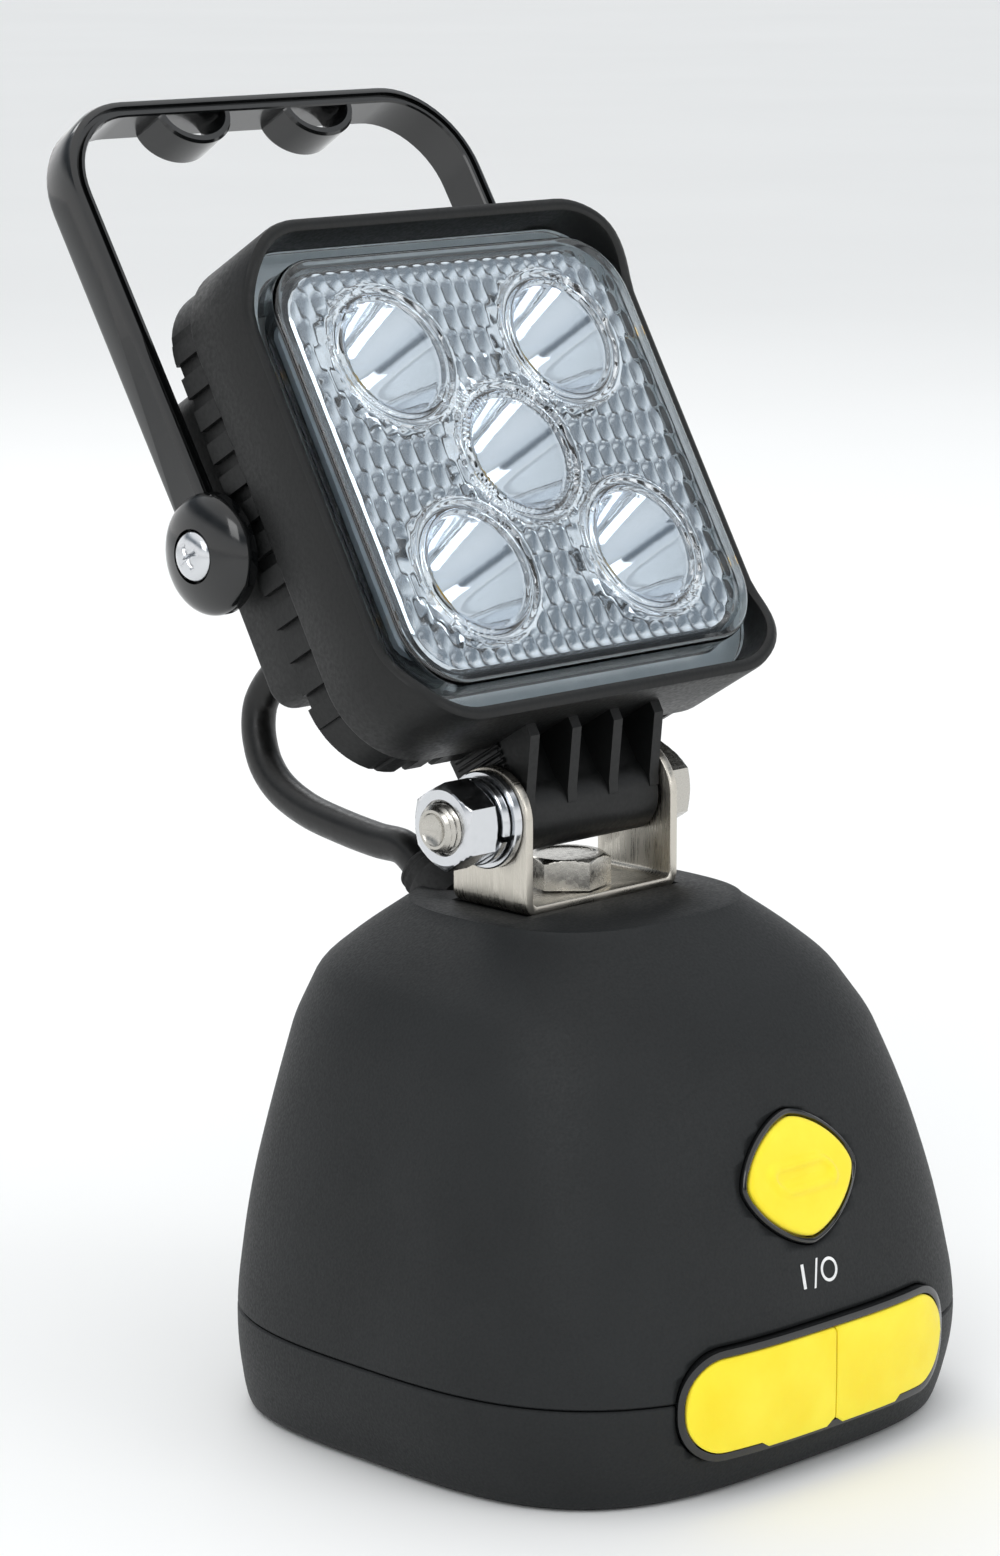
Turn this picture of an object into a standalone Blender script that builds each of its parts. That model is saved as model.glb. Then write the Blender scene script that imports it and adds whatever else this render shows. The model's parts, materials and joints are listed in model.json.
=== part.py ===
"""Rechargeable LED work light: a square lamp head that tilts in a bracket on a battery base with magnets.

Metres, +Z up. The origin is the centre of the base's underside. The lamp faces -Y and the bracket's bolt lies
along X. Pieces of the head are made in the head's own frame, whose origin is on the tilt bolt's axis: x along the
bolt, y towards the lamp's back and z towards its top. An empty turns that frame back by the resting tilt.
"""

import math

import bmesh
import bpy
from mathutils import Matrix, Vector

GAP = 0.0003            # clearance between pieces that touch

# Base
BASE_WIDTH = 0.1362
BASE_DEPTH = 0.1300
BASE_HEIGHT = 0.1065
PARTING_HEIGHT = 0.0220
BASE_WALL = 0.0025
TRAY_FLOOR = 0.0030
# Shares of height and width, sideways drift of the centre and squareness of the outline, from the foot up
BASE_FORM = (
    (0.000, 0.914, 0.0000, 3.50),
    (0.038, 0.960, -0.0003, 3.10),
    (0.113, 0.991, -0.0011, 2.98),
    (0.207, 1.000, -0.0016, 3.02),
    (0.432, 0.941, -0.0003, 3.08),
    (0.620, 0.865, 0.0008, 3.08),
    (0.770, 0.789, 0.0028, 3.04),
    (0.873, 0.703, 0.0049, 2.95),
    (0.934, 0.596, 0.0050, 2.85),
    (1.000, 0.455, 0.0050, 2.80),
)
BASE_SIDES = 44

# Power button and its place on the front
BUTTON_HEIGHT = 0.0593
BUTTON_HALF_WIDTH = 0.0150
BUTTON_HALF_HEIGHT = 0.0120
BUTTON_SQUARENESS = 1.55
BUTTON_PROUD = 0.0016
BUTTON_TRAVEL = 0.0012
BUTTON_LIP = 0.0012
BEZEL_WIDTH = 0.0016
BEZEL_PROUD = 0.0008
BEZEL_DEPTH = 0.0023

# Charge and USB covers
PORT_HEIGHT = 0.0203
PORT_HALF_LENGTH = 0.0376
PORT_HALF_HEIGHT = 0.0098
PORT_BEZEL_WIDTH = 0.0014
PORT_BEZEL_PROUD = 0.0005
PORT_ROUNDNESS = 0.92     # radius of the rounded ends as a share of the half height
PORT_POCKET = 0.0030
PORT_BACK = 0.0050
FLAP_PROUD = 0.0008
FLAP_TAPER = 0.0009
FLAP_BACK_GAP = 0.0004
FLAP_SPLIT = 0.0015
FLAP_SPLIT_GAP = 0.0006
SOCKET_OFFSET = 0.0190
USB_WIDTH = 0.0143
USB_HEIGHT = 0.0068
CHARGE_SIZE = 0.0095

# Inside the base
BOARD_Y = -0.0490
BOARD_THICKNESS = 0.0016
BOARD_LOW = 0.0085
BOARD_HIGH = 0.0640
SWITCH_SIZE = 0.0060
CELL_DIAMETER = 0.0184
CELL_LENGTH = 0.0650
CELL_PITCH = 0.0191
CELL_FIRST_Y = -0.0240
CELL_COUNT = 4
HOLDER_WALL = 0.0022
MAGNET_DIAMETER = 0.0300
MAGNET_THICKNESS = 0.0065
MAGNET_RECESS = 0.0004
MAGNET_OFFSET = 0.0270
MAGNET_WALL = 0.0022
SCREW_INSET = 0.0239
SCREW_DIAMETER = 0.0035
SCREW_HEAD_DIAMETER = 0.0070
SCREW_HEAD_DEPTH = 0.0040
SCREW_HEAD_HEIGHT = 0.0024
SCREW_LENGTH = 0.0300
POST_DIAMETER = 0.0096

# Bracket, tilt bolt and the bolt that holds the bracket down
BRACKET_Y = 0.0077
BRACKET_WIDTH = 0.0439
BRACKET_DEPTH = 0.0212
BRACKET_SHEET = 0.0020
BRACKET_BEND = 0.0030
BRACKET_POCKET = 0.0008
PIVOT_HEIGHT = 0.0190
BOLT_DIAMETER = 0.0100
BOLT_CLEARANCE = 0.0006
HEX_FLATS = 0.0160
HEX_HEAD_HEIGHT = 0.0064
NUT_HEIGHT = 0.0080
WASHER_DIAMETER = 0.0200
WASHER_THICKNESS = 0.0020
SPRING_WASHER_DIAMETER = 0.0178
SPRING_WASHER_THICKNESS = 0.0024
BOLT_TIP = 0.0025
BASE_WASHER_DIAMETER = 0.0240
BASE_BOLT_TURN = 46.0

# Head. Depths run back from the plane of the hood's top and bottom edges.
TILT = math.radians(30.75)
HEAD_SIDE = 0.1100
LUG_HEIGHT = 0.0132
HEAD_FORWARD = 0.0262
HEAD_CORNER = 0.0180
RIM_WALL = 0.0030
RIM_SCOOP = 0.0050
BAND_DEPTH = 0.0220
BODY_DEPTH = 0.0310
BODY_STEP = 0.0012
BOX_DEPTH = 0.0420
BOX_SIDE_INSET = 0.0035
BOX_END_INSET = 0.0210
LENS_LEDGE = 0.0120
CAVITY_INSET = 0.0090
CAVITY_FLOOR = 0.0249
DRIVER_SIDE_WALL = 0.0135
DRIVER_END_WALL = 0.0100
DRIVER_BACK_WALL = 0.0035
TOOTH_PITCH = 0.0073
TOOTH_GROOVE = 0.0030
TOOTH_GROOVE_DEPTH = 0.0016
TOOTH_MARGIN = 0.0112
FIN_PITCH = 0.0090
FIN_THICKNESS = 0.0022
FIN_MARGIN = 0.0160
FIN_DEPTH = 0.0350
FIN_END_INSET = 0.0075
LUG_SIDE_GAP = 0.00055
LUG_RADIUS = 0.0080
LUG_BACK = 0.0070
LUG_WEB_FRONT = 0.0070
RIB_COUNT = 4
RIB_THICKNESS = 0.0030
RIB_FRONT = 0.0168
RIB_TIP = -0.0020

# Lens, seal, reflector and light board
LENS_SIDE_GAP = 0.0024
LENS_END_GAP = 0.0052
LENS_CORNER = 0.0140
LENS_FRONT = 0.00125
LENS_WALL = 0.0020
LENS_FLANGE_FRONT = 0.0082
LENS_FLANGE_THICKNESS = 0.0020
SEAL_THICKNESS = 0.0012
CUP_MARGIN = 0.0080
CUP_RADIUS = 0.0142
CUP_HOLE = 0.0046
CUP_WALL = 0.0010
REFLECTOR_FRONT = 0.0044
REFLECTOR_PLATE = 0.0012
REFLECTOR_BACK = 0.0224
LED_BOARD_FRONT = 0.0230
LED_BOARD_THICKNESS = 0.0016
LED_BOARD_GAP = 0.0012
LED_HEIGHT = 0.0021

# Carry handle
HANDLE_DEPTH = 0.0379
HANDLE_LEAN = math.radians(1.8)
HANDLE_RISE = 0.0459
HANDLE_SIDE_GAP = 0.0020
HANDLE_STRAP = 0.0040
HANDLE_STRAP_WIDTH = 0.0100
HANDLE_CORNER = 0.0210
BOSS_RADIUS = 0.0125
BOSS_DEPTH = 0.0075
BOSS_RIM = 0.0022
BUSH_THICKNESS = 0.0012
BUSH_RADIUS = 0.0056
RING_OFFSET = 0.0175
RING_HALF_WIDTH = 0.0100
RING_DROP = 0.0070
RING_WALL = 0.0020
HANDLE_SCREW_DIAMETER = 0.0048
HANDLE_SCREW_HEAD = 0.0106
HANDLE_SCREW_SINK = 0.0024
HANDLE_SCREW_GRIP = 0.0085

# Lamp cable and its two glands
CABLE_DIAMETER = 0.0075
GLAND_DROP = 0.0100
GLAND_RADIUS = 0.0080
GLAND_SHANK = 0.0060
GLAND_LENGTH = 0.0100
BASE_GLAND_SIDE = -0.0120
BASE_GLAND_INSET = 0.0265
BASE_GLAND_RISE = 0.0024
BASE_GLAND_LEAN = math.radians(30.0)
BASE_GLAND_LENGTH = 0.0120
BASE_GLAND_RADIUS = 0.0062
BASE_GLAND_NOSE = 0.0048
# Hand-chosen points of the loop between the glands, lamp end first
CABLE_ROUTE = (
    (-0.0016, 0.0770, 0.1514),
    (-0.0029, 0.0855, 0.1462),
    (-0.0042, 0.0920, 0.1409),
    (-0.0054, 0.0951, 0.1358),
    (-0.0066, 0.0951, 0.1313),
    (-0.0079, 0.0932, 0.1268),
    (-0.0091, 0.0896, 0.1220),
    (-0.0101, 0.0834, 0.1179),
    (-0.0110, 0.0738, 0.1149),
    (-0.0116, 0.0622, 0.1132),
    (-0.0120, 0.0515, 0.1122),
)
CABLE_STEPS = 3

# Worked out from the sizes above
HEAD_HALF = HEAD_SIDE / 2
HEAD_RISE = LUG_HEIGHT + HEAD_HALF
BODY_HALF = HEAD_HALF - BODY_STEP
BOX_HALF_WIDTH = HEAD_HALF - BOX_SIDE_INSET
BOX_HALF_HEIGHT = HEAD_HALF - BOX_END_INSET
CAVITY_HALF = HEAD_HALF - CAVITY_INSET
RECESS_HALF = HEAD_HALF - RIM_WALL
DRIVER_HALF_WIDTH = BOX_HALF_WIDTH - DRIVER_SIDE_WALL
DRIVER_HALF_HEIGHT = BOX_HALF_HEIGHT - DRIVER_END_WALL
DRIVER_DEPTH = BOX_DEPTH - DRIVER_BACK_WALL
LENS_HALF_WIDTH = RECESS_HALF - LENS_SIDE_GAP
LENS_HALF_HEIGHT = RECESS_HALF - LENS_END_GAP
LENS_FLANGE_HALF = RECESS_HALF - 2 * GAP
LENS_FLANGE_BACK = LENS_FLANGE_FRONT + LENS_FLANGE_THICKNESS
CUP_OFFSET = CAVITY_HALF - CUP_RADIUS - CUP_MARGIN
STRAP_INNER = BOX_HALF_WIDTH + HANDLE_SIDE_GAP
STRAP_OUTER = STRAP_INNER + HANDLE_STRAP
HANDLE_TOP = HEAD_HALF + HANDLE_RISE
HUB_FACE = BOX_HALF_WIDTH + BUSH_THICKNESS + 2 * GAP
BOSS_FACE = BODY_HALF + 2 * GAP
BOSS_APEX = BOSS_FACE + BOSS_DEPTH
SCREW_SEAT = BOSS_APEX - HANDLE_SCREW_SINK
LUG_HALF_WIDTH = BRACKET_WIDTH / 2 - BRACKET_SHEET - LUG_SIDE_GAP
BRACKET_FLOOR = BASE_HEIGHT - BRACKET_POCKET + GAP
CELL_HEIGHT = MAGNET_THICKNESS + MAGNET_WALL + HOLDER_WALL + CELL_DIAMETER / 2 + 2 * GAP
FLAP_BACK = -PORT_POCKET + FLAP_BACK_GAP
PORT_BEZEL_HALF_HEIGHT = PORT_HALF_HEIGHT + PORT_BEZEL_WIDTH
BOARD_FRONT = BOARD_Y - GAP

# ---------------------------------------------------------------- building blocks

def clear_scene():
    for obj in list(bpy.data.objects):
        bpy.data.objects.remove(obj, do_unlink=True)


def material(name, colour, roughness, metallic=0.0):
    made = bpy.data.materials.new(name)
    made.use_nodes = True
    shader = made.node_tree.nodes["Principled BSDF"]
    linear = [(channel / 255.0) ** 2.2 for channel in colour]
    shader.inputs["Base Color"].default_value = (*linear, 1.0)
    shader.inputs["Roughness"].default_value = roughness
    shader.inputs["Metallic"].default_value = metallic
    made.diffuse_color = (*linear, 1.0)
    return made


def finish_mesh(name, bm, finish, parent=None, helper=False):
    """Turns a bmesh into a named object; a helper is a cutter or an added block that isn't a piece itself."""
    bmesh.ops.recalc_face_normals(bm, faces=bm.faces[:])
    mesh = bpy.data.meshes.new(name)
    bm.to_mesh(mesh)
    bm.free()
    mesh.shade_smooth()
    mesh.set_sharp_from_angle(angle=math.radians(35))
    obj = bpy.data.objects.new(name, mesh)
    bpy.context.scene.collection.objects.link(obj)
    obj.parent = parent
    if helper:
        obj.hide_render = True
        obj.display_type = "WIRE"
    else:
        mesh.materials.append(finish)
    return obj


def combine(obj, other, operation):
    modifier = obj.modifiers.new(f"{operation.lower()}_{other.name}", "BOOLEAN")
    modifier.object = other
    modifier.operation = operation
    modifier.solver = "EXACT"


def cut(obj, cutter):
    combine(obj, cutter, "DIFFERENCE")


def join(obj, block):
    combine(obj, block, "UNION")


def along_x(u, v, w):
    return Vector((w, u, v))


def along_y(u, v, w):
    return Vector((u, w, v))


def along_z(u, v, w):
    return Vector((u, v, w))


def shifted(place, x=0.0, y=0.0, z=0.0):
    return lambda u, v, w: place(u, v, w) + Vector((x, y, z))


def arc(centre_u, centre_v, radius, start, end, steps):
    points = []
    for step in range(steps + 1):
        angle = math.radians(start + (end - start) * step / steps)
        points.append((centre_u + radius * math.cos(angle), centre_v + radius * math.sin(angle)))
    return points


def rounded_rectangle(half_width, half_height, radius, steps=5):
    """Points of a rectangle with round corners about the origin, anticlockwise from its right side."""
    radius = min(radius, half_width, half_height)
    u = half_width - radius
    v = half_height - radius
    return (arc(u, v, radius, 0, 90, steps) + arc(-u, v, radius, 90, 180, steps)
            + arc(-u, -v, radius, 180, 270, steps) + arc(u, -v, radius, 270, 360, steps))


def add_loft(bm, rings, closed=False):
    """Joins rings of equal length by quads, and closes the ends or, if closed, the last ring to the first."""
    rows = [[bm.verts.new(point) for point in ring] for ring in rings]
    count = len(rows[0])
    pairs = list(zip(rows, rows[1:]))
    if closed:
        pairs.append((rows[-1], rows[0]))
    for low, high in pairs:
        for index in range(count):
            after = (index + 1) % count
            bm.faces.new((low[index], low[after], high[after], high[index]))
    if not closed:
        bm.faces.new(rows[0][::-1])
        bm.faces.new(rows[-1])


def loft(name, rings, finish, parent=None, closed=False, helper=False):
    bm = bmesh.new()
    add_loft(bm, rings, closed)
    return finish_mesh(name, bm, finish, parent, helper)


def ring_at(outline, height, place):
    return [place(u, v, height) for u, v in outline]


def prism(name, outline, low, high, place, finish=None, parent=None, helper=False):
    rings = [ring_at(outline, low, place), ring_at(outline, high, place)]
    return loft(name, rings, finish, parent, helper=helper)


def prisms(name, blocks, place, parent=None):
    """One helper made of separate prisms, each given as (outline, low, high)."""
    bm = bmesh.new()
    for outline, low, high in blocks:
        add_loft(bm, [ring_at(outline, low, place), ring_at(outline, high, place)])
    return finish_mesh(name, bm, None, parent, helper=True)


def box_outline(low_u, high_u, low_v, high_v):
    return [(low_u, low_v), (high_u, low_v), (high_u, high_v), (low_u, high_v)]


def circle(radius, centre_u=0.0, centre_v=0.0, sides=32):
    return arc(centre_u, centre_v, radius, 0, 360 * (sides - 1) / sides, sides - 1)


def hexagon(flats, turn):
    """A hexagon with one pair of flats square to the given direction in degrees."""
    return arc(0, 0, flats / math.sqrt(3), turn + 30, turn + 330, 5)


def add_turned(bm, profile, place, sides, closed):
    """Turns (radius, height) points about the third axis of place; a radius of 0 becomes a single point."""
    rows = []
    for radius, height in profile:
        if radius == 0:
            rows.append([bm.verts.new(place(0, 0, height))])
        else:
            rows.append([bm.verts.new(place(u, v, height)) for u, v in circle(radius, sides=sides)])
    pairs = list(zip(rows, rows[1:]))
    if closed:
        pairs.append((rows[-1], rows[0]))
    for low, high in pairs:
        for index in range(sides):
            after = (index + 1) % sides
            if len(low) == 1:
                bm.faces.new((low[0], high[after], high[index]))
            elif len(high) == 1:
                bm.faces.new((low[index], low[after], high[0]))
            else:
                bm.faces.new((low[index], low[after], high[after], high[index]))


def turned(name, profile, place, finish=None, parent=None, sides=24, closed=False, helper=False):
    bm = bmesh.new()
    add_turned(bm, profile, place, sides, closed)
    return finish_mesh(name, bm, finish, parent, helper)


def washer(name, bore, diameter, low, high, place, finish, parent=None, sides=24):
    profile = [(bore / 2, low), (diameter / 2, low), (diameter / 2, high), (bore / 2, high)]
    return turned(name, profile, place, finish, parent, sides, closed=True)


# ---------------------------------------------------------------- form of the base

def base_section(height):
    """Half width, half depth, centre's y and squareness of the base's outline at a height."""
    share = min(max(height / BASE_HEIGHT, 0.0), 1.0)
    for low, high in zip(BASE_FORM, BASE_FORM[1:]):
        if share <= high[0]:
            break
    part = (share - low[0]) / (high[0] - low[0])
    width, centre, squareness = (a + (b - a) * part for a, b in zip(low[1:], high[1:]))
    return width * BASE_WIDTH / 2, width * BASE_DEPTH / 2, centre, squareness


def base_ring(height, inset=0.0, at=None):
    half_width, half_depth, centre, squareness = base_section(height)
    power = 2.0 / squareness
    level = height if at is None else at
    points = []
    for step in range(BASE_SIDES):
        angle = 2 * math.pi * step / BASE_SIDES
        c = math.cos(angle)
        s = math.sin(angle)
        x = math.copysign(abs(c) ** power, c) * (half_width - inset)
        y = math.copysign(abs(s) ** power, s) * (half_depth - inset) + centre
        points.append(Vector((x, y, level)))
    return points


def form_heights(low, high):
    inside = [share * BASE_HEIGHT for share, *_ in BASE_FORM if low < share * BASE_HEIGHT - 0.001 < high - 0.002]
    return [low] + inside + [high]


def inner_ring(height):
    """Ring one wall inside the outline, moved square to the base's slope."""
    step = 0.001
    slope = (base_section(height + step)[0] - base_section(height - step)[0]) / (2 * step)
    length = math.hypot(1.0, slope)
    return base_ring(height, BASE_WALL / length, height + BASE_WALL * slope / length)


def front_point(x, height, outward=0.0):
    """Point on the base's front above x, moved out along the outline's normal in plan."""
    half_width, half_depth, centre, n = base_section(height)
    share = abs(x) / half_width
    y = half_depth * (1 - share ** n) ** (1 / n)
    normal = Vector((math.copysign(share ** (n - 1) / half_width, x), -((y / half_depth) ** (n - 1)) / half_depth, 0))
    return Vector((x, centre - y, height)) + normal.normalized() * outward


def front_frame(height):
    """Place function on the front's middle: u along X, v up the slope and w outwards."""
    low = front_point(0, height - 0.008)
    high = front_point(0, height + 0.008)
    origin = front_point(0, height)
    up = (high - low).normalized()
    out = Vector((1, 0, 0)).cross(up)
    return lambda u, v, w: origin + Vector((u, 0, 0)) + up * v + out * w


def rounded_diamond(grow=0.0, sides=32):
    points = []
    power = 2.0 / BUTTON_SQUARENESS
    for step in range(sides):
        angle = 2 * math.pi * step / sides
        c = math.cos(angle)
        s = math.sin(angle)
        points.append((math.copysign(abs(c) ** power, c) * (BUTTON_HALF_WIDTH + grow),
                       math.copysign(abs(s) ** power, s) * (BUTTON_HALF_HEIGHT + grow)))
    return points


def port_stations(left, right, half_height, left_radius, right_radius):
    """(x, half height) along a cover whose two ends are rounded."""
    steps = 5
    stations = []
    for step in range(steps + 1):
        angle = math.radians(90 * step / steps)
        stations.append((left + left_radius * (1 - math.cos(angle)), half_height - left_radius * (1 - math.sin(angle))))
    inner_left = left + left_radius
    inner_right = right - right_radius
    for step in range(1, 6):
        stations.append((inner_left + (inner_right - inner_left) * step / 6, half_height))
    for step in range(steps + 1):
        angle = math.radians(90 * (1 - step / steps))
        stations.append((right - right_radius * (1 - math.cos(angle)),
                         half_height - right_radius * (1 - math.sin(angle))))
    return stations


def curved_plate(name, ends, half_height, radii, front, back, finish=None, parent=None, helper=False, taper=0.0):
    """A plate that follows the base's front, between two distances outwards from it."""
    left, right = ends
    near = port_stations(left, right, half_height, *radii)
    far = port_stations(left + taper, right - taper, half_height - taper, *[max(r - taper, 0.0002) for r in radii])
    rings = []
    for (near_x, near_half), (far_x, far_half) in zip(near, far):
        ring = [front_point(near_x, PORT_HEIGHT, front) + Vector((0, 0, -near_half)),
                front_point(near_x, PORT_HEIGHT, front) + Vector((0, 0, near_half)),
                front_point(far_x, PORT_HEIGHT, back) + Vector((0, 0, far_half)),
                front_point(far_x, PORT_HEIGHT, back) + Vector((0, 0, -far_half))]
        rings.append(ring)
    return loft(name, rings, finish, parent, helper=helper)


# ---------------------------------------------------------------- base

def make_base_shell(finish):
    low = PARTING_HEIGHT + GAP / 2
    heights = form_heights(low, BASE_HEIGHT)
    outer = [base_ring(height) for height in heights]
    inner_top = BASE_HEIGHT - BASE_WALL
    inner = [base_ring(low, BASE_WALL)] + [inner_ring(height) for height in heights[1:-1]]
    inner.append(base_ring(BASE_HEIGHT, BASE_WALL, inner_top))
    shell = loft("base_shell", inner[::-1] + outer, finish)
    # The two ends of the loft are the ceiling inside and the pad on top.
    posts = []
    for x, y in screw_places():
        posts.append((circle(POST_DIAMETER / 2, x, y, 16), PARTING_HEIGHT + 0.006, post_top(x, y)))
    post_blocks = prisms("shell_posts", posts, along_z)
    join(shell, post_blocks)
    bores = [(circle(SCREW_DIAMETER / 2 + GAP, x, y, 12), 0.0, TRAY_FLOOR + SCREW_LENGTH + 0.004)
             for x, y in screw_places()]
    cut(shell, prisms("shell_post_bores", bores, along_z))
    half_x = BRACKET_WIDTH / 2 + GAP
    half_y = BRACKET_DEPTH / 2 + GAP
    pocket = box_outline(-half_x, half_x, BRACKET_Y - half_y, BRACKET_Y + half_y)
    cut(shell, prism("bracket_pocket", pocket, BASE_HEIGHT - BRACKET_POCKET, BASE_HEIGHT + 0.005, along_z, helper=True))
    hole = circle((BOLT_DIAMETER + BOLT_CLEARANCE) / 2, 0, BRACKET_Y, 24)
    cut(shell, prism("base_bolt_hole", hole, BASE_HEIGHT - 0.010, BASE_HEIGHT + 0.006, along_z, helper=True))
    place = base_gland_frame()
    cut(shell, prism("base_gland_hole", circle(BASE_GLAND_RADIUS + GAP, sides=24), -BASE_GLAND_LENGTH - 0.004, 0.004,
                     place, helper=True))
    button_hole = rounded_diamond(BEZEL_WIDTH + GAP)
    cut(shell, prism("button_hole", button_hole, -0.009, 0.006, front_frame(BUTTON_HEIGHT), helper=True))
    cut(shell, port_hole("shell_port_hole"))
    return shell


def port_hole(name):
    half = PORT_HALF_LENGTH + PORT_BEZEL_WIDTH + GAP
    height = PORT_BEZEL_HALF_HEIGHT + GAP
    radius = height * PORT_ROUNDNESS
    return curved_plate(name, (-half, half), height, (radius, radius), 0.006, -0.010, helper=True)


def screw_places():
    across = BASE_WIDTH / 2 - SCREW_INSET
    along = BASE_DEPTH / 2 - SCREW_INSET
    return [(x * across, y * along) for x in (-1, 1) for y in (-1, 1)]


def post_top(x, y):
    """Height at which a post runs into the leaning wall, short of its outer face."""
    reach = POST_DIAMETER / 2 * math.sqrt(0.5) + BASE_WALL / 2
    height = PARTING_HEIGHT
    step = 0.001
    while height < BASE_HEIGHT:
        half_width, half_depth, centre, squareness = base_section(height + step)
        across = (abs(x) + reach) / half_width
        along = (abs(y - centre) + reach) / half_depth
        if across ** squareness + along ** squareness > 1:
            break
        height += step
    return height


def magnet_places():
    return [(x * MAGNET_OFFSET, y * MAGNET_OFFSET) for x in (-1, 1) for y in (-1, 1)]


def make_base_tray(finish):
    high = PARTING_HEIGHT - GAP / 2
    lip = BASE_WALL + 2 * GAP
    outer = [base_ring(height) for height in form_heights(0.0, high)]
    inner = [base_ring(high, lip), base_ring(high, lip, high + 0.003)]
    inner.append(base_ring(high, lip + BASE_WALL, high + 0.003))
    inner.append(base_ring(high, lip + BASE_WALL, TRAY_FLOOR + 0.004))
    inner.append(base_ring(0.004, lip + BASE_WALL + 0.002, TRAY_FLOOR))
    tray = loft("base_tray", outer + inner, finish)
    wells = [(circle(MAGNET_DIAMETER / 2 + MAGNET_WALL, x, y, 24), TRAY_FLOOR / 2, MAGNET_THICKNESS + MAGNET_WALL)
             for x, y in magnet_places()]
    posts = [(circle(POST_DIAMETER / 2, x, y, 16), TRAY_FLOOR / 2, PARTING_HEIGHT + 0.005) for x, y in screw_places()]
    join(tray, prisms("tray_wells", wells, along_z))
    join(tray, prisms("tray_posts", posts, along_z))
    pockets = [(circle(MAGNET_DIAMETER / 2 + GAP, x, y, 24), -0.002, MAGNET_RECESS + MAGNET_THICKNESS + GAP)
               for x, y in magnet_places()]
    cut(tray, prisms("magnet_pockets", pockets, along_z))
    sinks = [(circle(SCREW_HEAD_DIAMETER / 2 + GAP, x, y, 16), -0.002, SCREW_HEAD_DEPTH) for x, y in screw_places()]
    cut(tray, prisms("screw_sinks", sinks, along_z))
    bores = [(circle(SCREW_DIAMETER / 2 + GAP, x, y, 12), 0.001, PARTING_HEIGHT + 0.010) for x, y in screw_places()]
    cut(tray, prisms("screw_bores", bores, along_z))
    cut(tray, port_hole("tray_port_hole"))
    return tray


def make_tray_screws(finish):
    for index, (x, y) in enumerate(screw_places(), start=1):
        head = SCREW_HEAD_DEPTH - GAP
        low = head - SCREW_HEAD_HEIGHT
        radius = SCREW_DIAMETER / 2
        profile = [(0, low), (SCREW_HEAD_DIAMETER / 2 - 0.0006, low), (SCREW_HEAD_DIAMETER / 2, low + 0.0007),
                   (SCREW_HEAD_DIAMETER / 2, head), (radius, head), (radius, head + SCREW_LENGTH - 0.001),
                   (0, head + SCREW_LENGTH)]
        turned(f"tray_screw_{index}", profile, shifted(along_z, x, y), finish, sides=16)


def make_magnets(finish):
    for index, (x, y) in enumerate(magnet_places(), start=1):
        low = MAGNET_RECESS
        high = low + MAGNET_THICKNESS
        outer = MAGNET_DIAMETER / 2
        profile = [(0, low + 0.0008), (0.0030, low + 0.0008), (0.0030, low), (outer - 0.0006, low),
                   (outer, low + 0.0006), (outer, high), (0, high)]
        turned(f"magnet_{index}", profile, shifted(along_z, x, y), finish)


def make_cells(holder_finish, cell_finish):
    low = MAGNET_THICKNESS + MAGNET_WALL + GAP
    middle = CELL_FIRST_Y + CELL_PITCH * (CELL_COUNT - 1) / 2
    half_y = CELL_PITCH * CELL_COUNT / 2 + HOLDER_WALL / 2
    half_x = CELL_LENGTH / 2 + GAP + HOLDER_WALL
    outline = box_outline(-half_x, half_x, middle - half_y, middle + half_y)
    holder = prism("cell_holder", outline, low, CELL_HEIGHT + 0.001, along_z, holder_finish)
    grooves = []
    for index in range(CELL_COUNT):
        y = CELL_FIRST_Y + CELL_PITCH * index
        grooves.append((circle(CELL_DIAMETER / 2 + GAP, y, CELL_HEIGHT, 24), -CELL_LENGTH / 2 - GAP,
                        CELL_LENGTH / 2 + GAP))
        radius = CELL_DIAMETER / 2
        half = CELL_LENGTH / 2
        profile = [(0, -half), (radius - 0.001, -half), (radius, -half + 0.001), (radius, half - 0.003),
                   (radius - 0.001, half - 0.002), (0.0030, half - 0.0015), (0.0030, half - 0.0002),
                   (0, half - 0.0002)]
        turned(f"battery_cell_{index + 1}", profile, shifted(along_x, 0, y, CELL_HEIGHT), cell_finish, sides=22)
    cut(holder, prisms("cell_grooves", grooves, along_x))


def board_half_width():
    """Half the width that the shell leaves for the board at its upper corners."""
    half_width, half_depth, centre, squareness = base_section(BOARD_HIGH)
    wall = 1.3 * BASE_WALL
    share = (abs(BOARD_Y) + centre) / (half_depth - wall)
    return (half_width - wall) * (1 - share ** squareness) ** (1 / squareness) - 0.001


def make_control_board(finish):
    outline = rounded_rectangle(board_half_width(), (BOARD_HIGH - BOARD_LOW) / 2, 0.002, 2)
    place = shifted(along_y, z=(BOARD_HIGH + BOARD_LOW) / 2)
    prism("control_board", outline, BOARD_Y, BOARD_Y + BOARD_THICKNESS, place, finish)


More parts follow.
